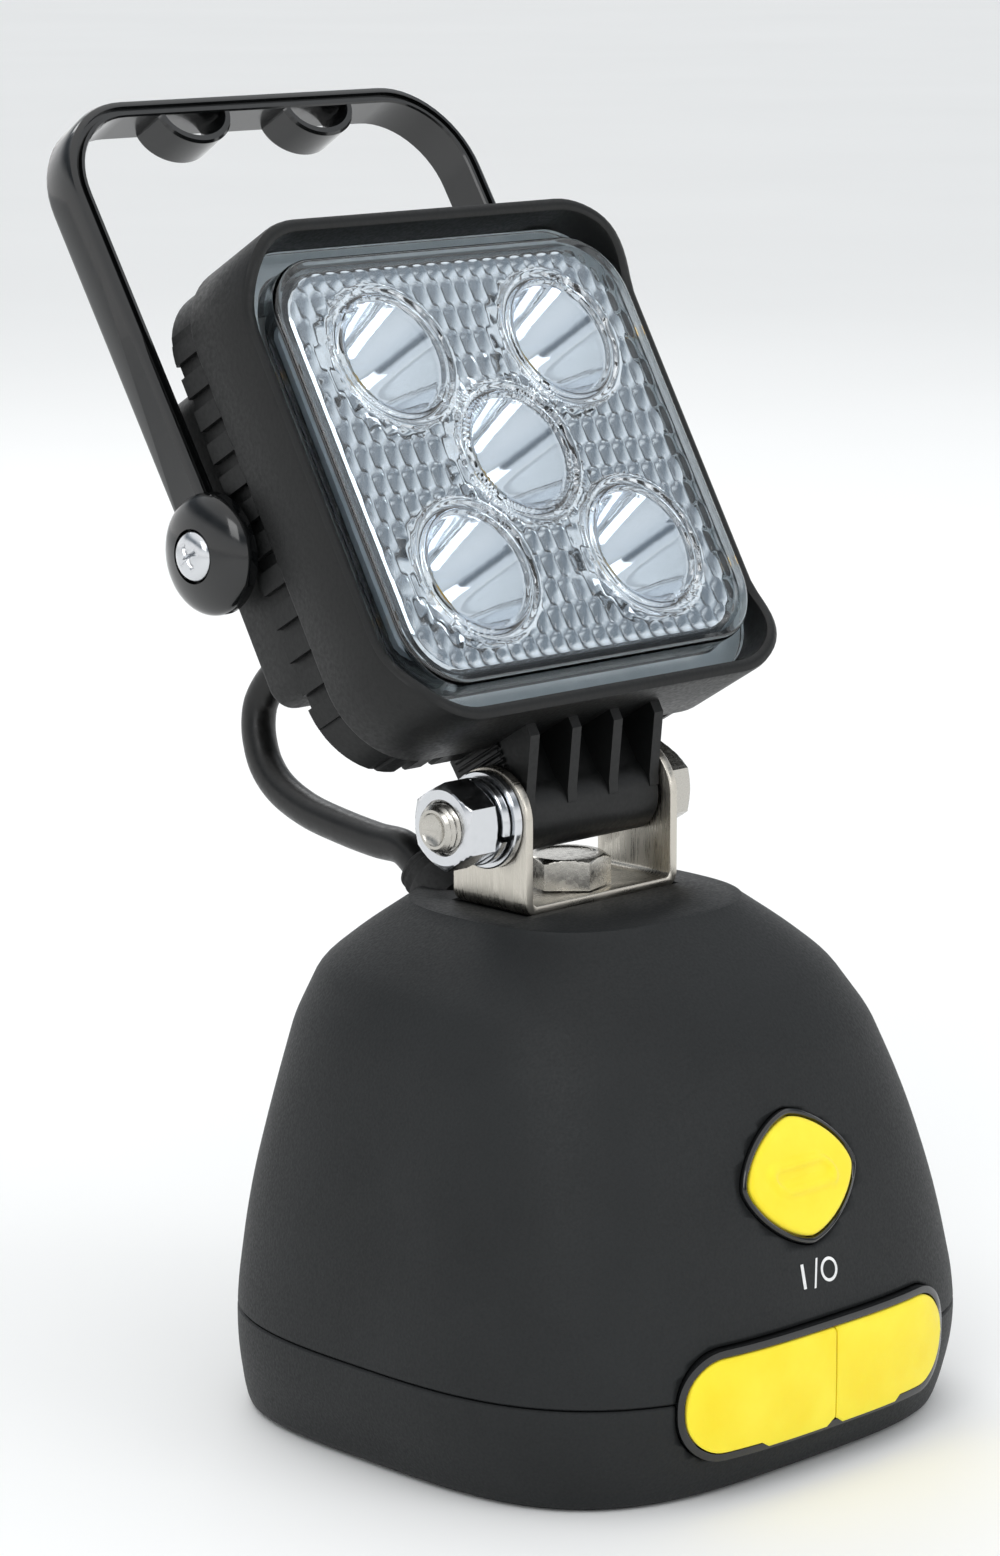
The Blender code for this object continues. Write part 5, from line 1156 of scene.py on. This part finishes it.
lug_bm = bmesh.new()
lug_outline = [*arc(0, 0, 0.0080, 150, 390, 36), (0.0080, LUG_TOP), (-0.0070, LUG_TOP)]
lug_rings = []
for inset, w in ((0.0005, -LUG_HALF_WIDTH), (0.0, -LUG_HALF_WIDTH + 0.0005), (0.0, LUG_HALF_WIDTH - 0.0005),
                 (0.0005, LUG_HALF_WIDTH)):
    shrink = 1 - inset / 0.0080
    lug_rings.append([on_lug(u * shrink, v * shrink if v < LUG_TOP else v, w) for u, v in lug_outline])
add_loft(lug_bm, lug_rings)
combine(lamp_housing, lug_bm, "UNION")
ribs_bm = bmesh.new()
rib_outline = [(-0.0060, -0.0020), (-0.0079, -0.0020), (-0.0090, 0.0002), (-0.0168, LUG_TOP - 0.0045),
               (-0.0168, LUG_TOP), (-0.0060, LUG_TOP)]
for index in range(4):
    x = -LUG_HALF_WIDTH + 0.0015 + (2 * LUG_HALF_WIDTH - 0.0030) / 3 * index
    add_prism(ribs_bm, rib_outline, x - 0.0013, x + 0.0013, on_lug)
combine(lamp_housing, ribs_bm, "UNION")
# Serrations on the lug's sides, which mark the tilt against the ear
teeth_bm = bmesh.new()
for side in (-1, 1):
    for index in range(9):
        v = 0.0008 + index * 0.0016
        tooth = [(-0.0076, v), (-0.0076, v + 0.0013), (0.0060, v + 0.0013), (0.0060, v)]
        near, far = side * (LUG_HALF_WIDTH - 0.0002), side * (LUG_HALF_WIDTH + 0.0004)
        add_loft(teeth_bm, [[on_lug(a, b, near) for a, b in tooth],
                            [on_lug(a, v + 0.00065 + (b - v - 0.00065) * 0.15, far) for a, b in tooth]])
combine(lamp_housing, teeth_bm, "UNION")
bores_bm = bmesh.new()
add_prism(bores_bm, circle(0.0053), -LUG_HALF_WIDTH - 0.002, LUG_HALF_WIDTH + 0.002, on_lug)
combine(lamp_housing, bores_bm)
driver_bm = bmesh.new()
add_prism(driver_bm, box_outline(-0.0380, 0.0380, -0.0240, 0.0240), CAVITY_FLOOR - 0.001, 0.0385, on_head)
combine(lamp_housing, driver_bm)
shank_bm = bmesh.new()
add_prism(shank_bm, circle(0.0063, 0, -HEAD_GLAND_DROP), 0.0365, BOX_DEPTH + 0.002, on_head)
combine(lamp_housing, shank_bm)
lamp_housing.data.set_sharp_from_angle(angle=math.radians(35))


# Head cable gland. A black nylon cap nut with grip flutes on a plain shank, screwed into the back of the
# driver box.

# Glass-filled nylon: black, half matt, with a trace of grey fibre.
gland_nylon, nylon_tree, nylon_shader = new_finish("glass_filled_nylon", "#171819", 0.45, IOR=1.53)
moulded_grain(nylon_tree, nylon_shader, 0.7, 0.02, 6.0, ("#131415", "#202122"), (0.38, 0.54))

nut_bm = bmesh.new()
FLUTES = 18
nut_rings = []
for radius, depth, flute in ((0.0060, 0.0355, 0.0), (0.0060, BOX_DEPTH + GAP, 0.0),
                             (0.0080, BOX_DEPTH + GAP, 0.0), (0.0080, BOX_DEPTH + 0.0020, 0.0),
                             (0.0078, BOX_DEPTH + 0.0024, 0.0004), (0.0078, BOX_DEPTH + 0.0064, 0.0004),
                             (0.0072, BOX_DEPTH + 0.0080, 0.0001), (0.0058, BOX_DEPTH + 0.0094, 0.0),
                             (0.0047, HEAD_GLAND_FACE, 0.0)):
    ring = []
    for step in range(FLUTES * 6):
        angle = 2 * math.pi * step / (FLUTES * 6)
        reach = radius - flute * (0.5 + 0.5 * math.cos(FLUTES * angle))
        ring.append(on_head(reach * math.cos(angle), reach * math.sin(angle) - HEAD_GLAND_DROP, depth))
    nut_rings.append(ring)
add_loft(nut_bm, nut_rings)
finish_piece("lamp_gland", nut_bm, [gland_nylon], "head", ["head_cable_gland"], 30)


# LED board, driver and emitters. A white-masked aluminium board screwed to the casting's floor carries five
# surface-mount LEDs: a white ceramic base and a raised yellow phosphor square. The driver lies behind
# it.

CUP_OFFSET = 0.0238
CUP_PLACES = [(-CUP_OFFSET, CUP_OFFSET), (CUP_OFFSET, CUP_OFFSET), (0.0, 0.0), (-CUP_OFFSET, -CUP_OFFSET),
              (CUP_OFFSET, -CUP_OFFSET)]

# White solder mask: glossy and slightly warm.
white_mask, mask_tree, mask_shader = new_finish("white_solder_mask", "#E4E6E4", 0.30, IOR=1.5)
moulded_grain(mask_tree, mask_shader, 0.8, 0.01, 8.0, ("#DADDDB", "#EDEEEC"), (0.24, 0.38))
# Alumina of the LED bases: bright white and matt.
led_ceramic, ceramic_tree, ceramic_shader = new_finish("led_ceramic", "#EDEDE8", 0.40, IOR=1.6)
moulded_grain(ceramic_tree, ceramic_shader, 0.3, 0.005, 2.0, ("#E4E4DE", "#F4F4F0"), (0.34, 0.46))
# Phosphor in silicone: amber yellow when unlit.
phosphor, phosphor_tree, phosphor_shader = new_finish("led_phosphor_silicone", "#E8B93C", 0.35, IOR=1.41)
moulded_grain(phosphor_tree, phosphor_shader, 0.25, 0.008, 1.2, ("#D9A52C", "#F1CB58"), (0.28, 0.44))

for node, finish in (("led_board", white_mask), ("led_driver", board_mask)):
    frame["nodes"][node].data.materials.clear()
    frame["nodes"][node].data.materials.append(finish)
LED_SEAT = 0.0227
# Outlines of an LED's base and chip as (half width, height above the seat)
LED_BASE = ((0.0030, 0.0), (0.0030, 0.0018), (0.0028, 0.0020))
LED_CHIP = ((0.0026, 0.0019), (0.0026, 0.0029), (0.0023, 0.0032))


def led_rings(u, v, outlines, corner, steps):
    return [ring_at([(u + a, v + b) for a, b in rounded_square(half, half, corner, steps)], LED_SEAT - height,
                    on_head) for half, height in outlines]


for index, (u, v) in enumerate(CUP_PLACES, start=1):
    led_bm = bmesh.new()
    add_loft(led_bm, led_rings(u, v, LED_BASE, 0.0005, 4))
    add_loft(led_bm, led_rings(u, v, LED_CHIP, 0.0002, 3), finish=1)
    finish_piece(f"led_{index}", led_bm, [led_ceramic, phosphor], "head",
                 [f"led_emitter_{index}"], 30)


# Reflector. One polycarbonate moulding, vacuum metallised: a flat plate with five parabolic cups and a skirt
# round its edge. Each cup is open at the bottom round its LED.

# Vacuum aluminium under lacquer: a true mirror with a faint ripple from the moulding below it.
metallised, metal_tree, metal_shader = new_finish("vacuum_metallised_plastic", "#EFF2F6", 0.05, Metallic=1.0)
drifting_metal(metal_tree, metal_shader, (5.0, 5.0, 5.0), 0.030, (0.03, 0.09))

CUP_RADIUS = 0.0138
CUP_HOLE = 0.0046
CUP_WALL = 0.0009
REFLECTOR_FRONT = 0.0044
REFLECTOR_BACK = 0.0222
plate_half = (0.0450, 0.0438)
reflector_bm = bmesh.new()
skirt_back = LENS_LEDGE - 0.0008
plate_rings = []
for half_w, half_h, corner, depth in ((plate_half[0] - 0.0006, plate_half[1] - 0.0006, 0.0104,
                                       REFLECTOR_FRONT), (*plate_half, 0.0110, REFLECTOR_FRONT + 0.0006),
                                      (*plate_half, 0.0110, skirt_back), (plate_half[0] - 0.0010,
        plate_half[1] - 0.0010, 0.0100, skirt_back), (plate_half[0] - 0.0010, plate_half[1] - 0.0010, 0.0100,
        REFLECTOR_FRONT + 0.0012)):
    plate_rings.append(ring_at(rounded_square(half_w, half_h, corner, 10), depth, on_head))
add_loft(reflector_bm, plate_rings)
reflector = finish_piece("reflector", reflector_bm, [metallised], "head",
                         ["reflector_plate"], 30)


def cup_profile(front, back, mouth, throat, steps=14):
    """Parabola from the mouth down to the throat."""
    profile = []
    for step in range(steps + 1):
        radius = mouth + (throat - mouth) * step / steps
        share = (mouth ** 2 - radius ** 2) / (mouth ** 2 - throat ** 2)
        profile.append((radius, front + (back - front) * share))
    return profile


cups_bm = bmesh.new()
throats_bm = bmesh.new()
for u, v in CUP_PLACES:
    at_cup = lambda a, b, w, u=u, v=v: on_head(u + a, v + b, w)
    outside = cup_profile(REFLECTOR_FRONT + 0.0006, REFLECTOR_BACK, CUP_RADIUS + CUP_WALL,
                          CUP_HOLE + CUP_WALL)
    add_turned(cups_bm, [(0, outside[0][1]), *outside, (0, outside[-1][1])], at_cup)
    inside = cup_profile(REFLECTOR_FRONT, REFLECTOR_BACK + 0.0004, CUP_RADIUS, CUP_HOLE)
    add_turned(throats_bm, [(0, REFLECTOR_FRONT - 0.001), (CUP_RADIUS + 0.0002, REFLECTOR_FRONT - 0.001),
                            *inside, (0, inside[-1][1])], at_cup)
combine(reflector, cups_bm, "UNION")
combine(reflector, throats_bm)
reflector.data.set_sharp_from_angle(angle=math.radians(30))


# Gasket and lens. A pale silicone gasket sits on the ledge under the flange of a one-piece clear
# polycarbonate lens. The lens's face carries rows of pillow flutes and, over each cup, a clear window between
# two raised rings.

LENS_HALF = (0.0496, 0.0468)
LENS_CORNER = 0.0140
LENS_FRONT = 0.00125
LENS_WALL = 0.0020
FLANGE_HALF = 0.0514
FLANGE_FRONT = 0.0082
FLANGE_BACK = 0.0102
FLUTE_PITCH = 0.0040
ROW_PITCH = 0.0056
FLUTE_HEIGHT = 0.00042
FRAME_WIDTH = 0.0036
WINDOW_RADIUS = 0.0142

# Translucent white silicone: milky, soft, and bright in daylight.
gasket_silicone, gasket_tree, gasket_shader = new_finish("translucent_silicone", "#D5DEE2", 0.38, IOR=1.41)
moulded_grain(gasket_tree, gasket_shader, 1.2, 0.01, 9.0, ("#CBD6DB", "#E0E8EB"), (0.32, 0.46))
gasket_bm = bmesh.new()
gasket_rings = [ring_at(rounded_square(half, half, corner, 12), depth, on_head)
                for half, corner, depth in ((FLANGE_HALF, 0.0140, 0.0105), (FLANGE_HALF, 0.0140, 0.0117),
                                            (0.0470, 0.0100, 0.0117), (0.0470, 0.0100, 0.0105))]
add_loft(gasket_bm, gasket_rings, closed=True)
for v in (-0.0290, 0.0250):
    for side in (-1, 1):
        add_prism(gasket_bm, box_outline(side * 0.0494 - 0.0014, side * 0.0494 + 0.0014, v - 0.0010,
                                         v + 0.0010), 0.01035, 0.0108, on_head, 1)
finish_piece("lens_gasket", gasket_bm, [gasket_silicone, gold_flash], "head", ["lens_seal"],
             30)

# Clear polycarbonate: water clear with a faint cool tint, IOR 1.585, glossy from a polished tool.
clear_pc, pc_tree, pc_shader = new_finish("clear_polycarbonate", "#F4F8FA", 0.03, IOR=1.585,
                                          Transmission_Weight=1.0)
pc_place = add_node(pc_tree, "ShaderNodeTexCoord").outputs["Object"]
pc_haze = add_node(pc_tree, "ShaderNodeTexNoise", {"Vector": pc_place, "Scale": 60.0, "Detail": 2.0})
pc_gloss = add_node(pc_tree, "ShaderNodeMapRange", {"Value": pc_haze.outputs["Fac"], "From Min": 0.3,
        "From Max": 0.7, "To Min": 0.015, "To Max": 0.05})
pc_tree.links.new(pc_gloss.outputs["Result"], pc_shader.inputs["Roughness"])


def lens_relief(u, v):
    """How far the lens's face stands out over its flat ground at a place."""
    nearest = min(math.hypot(u - a, v - b) for a, b in CUP_PLACES)
    ring = 0.0
    for radius, width, height in ((WINDOW_RADIUS + 0.0012, 0.0009, 0.0007),
                                  (WINDOW_RADIUS - 0.0010, 0.0007, 0.0005)):
        ring = max(ring, height * max(0.0, 1 - ((nearest - radius) / width) ** 2))
    if nearest < WINDOW_RADIUS + 0.0021:
        return ring
    edge = min(LENS_HALF[0] - abs(u), LENS_HALF[1] - abs(v)) - FRAME_WIDTH
    corner_u = abs(u) - (LENS_HALF[0] - LENS_CORNER)
    corner_v = abs(v) - (LENS_HALF[1] - LENS_CORNER)
    if corner_u > 0 and corner_v > 0:
        edge = LENS_CORNER - FRAME_WIDTH - math.hypot(corner_u, corner_v)
    if edge <= 0:
        return 0.0
    row = math.floor(v / ROW_PITCH)
    across = ((u / FLUTE_PITCH + 0.5 * (row % 2)) % 1.0) * 2 - 1
    along = ((v / ROW_PITCH) % 1.0) * 2 - 1
    return FLUTE_HEIGHT * (1 - across ** 2) * (0.55 + 0.45 * (1 - along ** 2)) * min(edge / 0.0004, 1.0)


lens_bm = bmesh.new()
lens_rings = []
LENS_RINGS = 96
for step in range(1, LENS_RINGS + 1):
    share = step / LENS_RINGS
    outline = rounded_square((LENS_HALF[0] - 0.0010) * share, (LENS_HALF[1] - 0.0010) * share,
                             max((LENS_CORNER - 0.0010) * share, 0.00005), 26, 92)
    lens_rings.append([on_head(u, v, LENS_FRONT + 0.0005 - lens_relief(u, v)) for u, v in outline])
for half_w, half_h, corner, depth in ((LENS_HALF[0] - 0.0005, LENS_HALF[1] - 0.0005, LENS_CORNER - 0.0005,
                                       LENS_FRONT + 0.0006), (LENS_HALF[0] - 0.0001, LENS_HALF[1] - 0.0001,
        LENS_CORNER - 0.0001, LENS_FRONT + 0.0011), (*LENS_HALF, LENS_CORNER, LENS_FRONT + 0.0018),
                                      (*LENS_HALF, LENS_CORNER, FLANGE_FRONT), (FLANGE_HALF, FLANGE_HALF,
        LENS_CORNER, FLANGE_FRONT), (FLANGE_HALF, FLANGE_HALF, LENS_CORNER, FLANGE_BACK),
                                      (LENS_HALF[0] - LENS_WALL, LENS_HALF[1] - LENS_WALL,
                                       LENS_CORNER - LENS_WALL, FLANGE_BACK), (LENS_HALF[0] - LENS_WALL,
        LENS_HALF[1] - LENS_WALL, LENS_CORNER - LENS_WALL, LENS_FRONT + LENS_WALL + 0.0004)):
    lens_rings.append(ring_at(rounded_square(half_w, half_h, corner, 26, 92), depth, on_head))
add_loft(lens_bm, lens_rings)
finish_piece("fluted_lens", lens_bm, [clear_pc], "head", ["lens"], 50)


# Carry handle. A bent bar of glossy black glass-filled nylon, moulded in one with two domed bosses and two
# finger rings under its top. A groove along its front leaves a thin inner lip.

HANDLE_LEAN = math.radians(1.8)
STRAP_OUTER = 0.0575
STRAP = 0.0040
STRAP_HALF = 0.0050
HANDLE_CORNER = 0.0210
handle_axis = joint_places["handle_swing"]
handle_turn = Matrix.Rotation(-TILT - HANDLE_LEAN, 4, "X")
HANDLE_TOP = HEAD_HALF + 0.0459


def on_handle(u, v, w):
    """u along X, v up from the handle's screws and w back."""
    return handle_axis + handle_turn @ Vector((u, w, v))


# Polished glass-filled nylon: black, glossy, with slow ripples where the wall thickness changes.
handle_nylon, handle_tree, handle_shader = new_finish("polished_glass_nylon", "#0A0B0C", 0.15, IOR=1.53,
                                                      Specular_IOR_Level=0.50, Coat_Weight=0.3)
moulded_grain(handle_tree, handle_shader, 2.4, 0.012, 18.0, ("#070808", "#0E0F10"), (0.10, 0.22))

handle_path = [(-STRAP_OUTER, 0.0, 180.0)]
for step in range(15):
    angle = 180 - 90 * step / 14
    handle_path.append((-STRAP_OUTER + HANDLE_CORNER, HANDLE_TOP - HANDLE_CORNER, angle))
for step in range(15):
    angle = 90 - 90 * step / 14
    handle_path.append((STRAP_OUTER - HANDLE_CORNER, HANDLE_TOP - HANDLE_CORNER, angle))
handle_path.append((STRAP_OUTER, 0.0, 0.0))
# Section of the bar as (depth in from the outer face, place across its width): rounded outside, grooved in
# front
bar_section = [(0.0012, -STRAP_HALF), (0.0004, -STRAP_HALF + 0.0004), (0.0, -STRAP_HALF + 0.0014),
               (0.0, STRAP_HALF - 0.0014), (0.0004, STRAP_HALF - 0.0004), (0.0012, STRAP_HALF),
               (STRAP - 0.0004, STRAP_HALF), (STRAP, STRAP_HALF - 0.0004), (STRAP, -STRAP_HALF + 0.0004),
               (STRAP - 0.0003, -STRAP_HALF), (STRAP - 0.0010, -STRAP_HALF),
               (STRAP - 0.0012, -STRAP_HALF + 0.0010), (STRAP - 0.0021, -STRAP_HALF + 0.0010),
               (STRAP - 0.0023, -STRAP_HALF)]
handle_bm = bmesh.new()
bar_rings = []
for index, (u, v, angle) in enumerate(handle_path):
    out = Vector((math.cos(math.radians(angle)), math.sin(math.radians(angle))))
    straight = index in (0, len(handle_path) - 1)
    ring = []
    for depth, across in bar_section:
        reach = -depth if straight else HANDLE_CORNER - depth
        ring.append(on_handle(u + out.x * reach, v + out.y * reach, across))
    bar_rings.append(ring)
add_loft(handle_bm, bar_rings)
carry_handle = finish_piece("carry_handle", handle_bm, [handle_nylon], "handle",
                            ["handle"], 30)


def half_ring(middle, half_width, drop, root, steps=28):
    return [(middle + half_width * math.cos(math.pi + math.pi * step / steps),
             root + drop * math.sin(math.pi + math.pi * step / steps)) for step in range(steps + 1)]


for side in (-1, 1):
    ring_bm = bmesh.new()
    root = HANDLE_TOP - STRAP + 0.0008
    sections = []
    for inset, w in ((0.0005, -STRAP_HALF + 0.0003), (0.0, -STRAP_HALF + 0.0009), (0.0, STRAP_HALF - 0.0009),
                     (0.0005, STRAP_HALF - 0.0003)):
        outer = half_ring(side * 0.0175, 0.0100 - inset, 0.0078 - inset, root)
        inner = half_ring(side * 0.0175, 0.0080 + inset * 0.6, 0.0058 + inset * 0.6, root)
        sections.append(ring_at(outer + inner[::-1], w, on_handle))
    add_loft(ring_bm, sections)
    combine(carry_handle, ring_bm, "UNION")

BOSS_RADIUS = 0.0125
HUB_FACE = 0.0533
BOSS_FACE = 0.0544
BOSS_APEX = 0.0619
for side in (-1, 1):
    boss_bm = bmesh.new()
    dome = [(BOSS_RADIUS * math.cos(math.radians(angle)),
             BOSS_APEX - (BOSS_APEX - BOSS_FACE - 0.0020) * (1 - math.sin(math.radians(angle))))
            for angle in range(0, 75, 6)]
    profile = [(0, HUB_FACE), (0.0056, HUB_FACE), (0.0056, BOSS_FACE), (BOSS_RADIUS - 0.0004, BOSS_FACE),
               (BOSS_RADIUS, BOSS_FACE + 0.0004), *dome, (0, BOSS_APEX)]
    on_boss = lambda u, v, w, side=side: on_handle(side * w, u, v)
    add_turned(boss_bm, profile, on_boss, 64)
    combine(carry_handle, boss_bm, "UNION")
    sink_bm = bmesh.new()
    add_turned(sink_bm, [(0, HUB_FACE - 0.002), (0.0027, HUB_FACE - 0.002), (0.0027, BOSS_APEX - 0.0024),
                         (0.0056, BOSS_APEX - 0.0024), (0.0056, BOSS_APEX - 0.0006),
                         (0.0064, BOSS_APEX + 0.002), (0, BOSS_APEX + 0.002)], on_boss, 48)
    combine(carry_handle, sink_bm)
carry_handle.data.set_sharp_from_angle(angle=math.radians(30))


# Handle screws and bushes. A bright zinc cross-head pan screw holds each boss, on a thin black nylon bush
# against the side of the driver box, so the handle swings stiffly on both screws.

for side, word in ((-1, "left"), (1, "right")):
    at_screw = lambda u, v, w, side=side: on_handle(side * w, u, v)
    seat = BOSS_APEX - 0.0024 + GAP
    screw_bm = bmesh.new()
    head = [(0.0053, seat), (0.0053, seat + 0.0008), (0.0050, seat + 0.0015), (0.0043, seat + 0.0022),
            (0.0032, seat + 0.0027), (0.0016, seat + 0.0030), (0, seat + 0.0030)]
    add_turned(screw_bm, [(0, 0.0430), (0.0018, 0.0430), (0.0024, 0.0440), (0.0024, seat), *head], at_screw,
               48)
    screw = finish_piece(f"handle_screw_{word}_pan", screw_bm, [bright_zinc], "head",
                         [f"handle_screw_{word}"], 35)
    combine(screw, cross_recess(at_screw, seat + 0.0030, 0.0028, 0.0019, -1))
    bush_bm = bmesh.new()
    add_turned(bush_bm, [(0.0027, 0.0518), (0.0054, 0.0518), (0.0056, 0.0520), (0.0056, 0.0528),
                         (0.0054, 0.0530), (0.0027, 0.0530)], at_screw, 48, True)
    finish_piece(f"boss_bush_{word}", bush_bm, [gland_nylon], "head", [f"handle_bush_{word}"],
                 30)
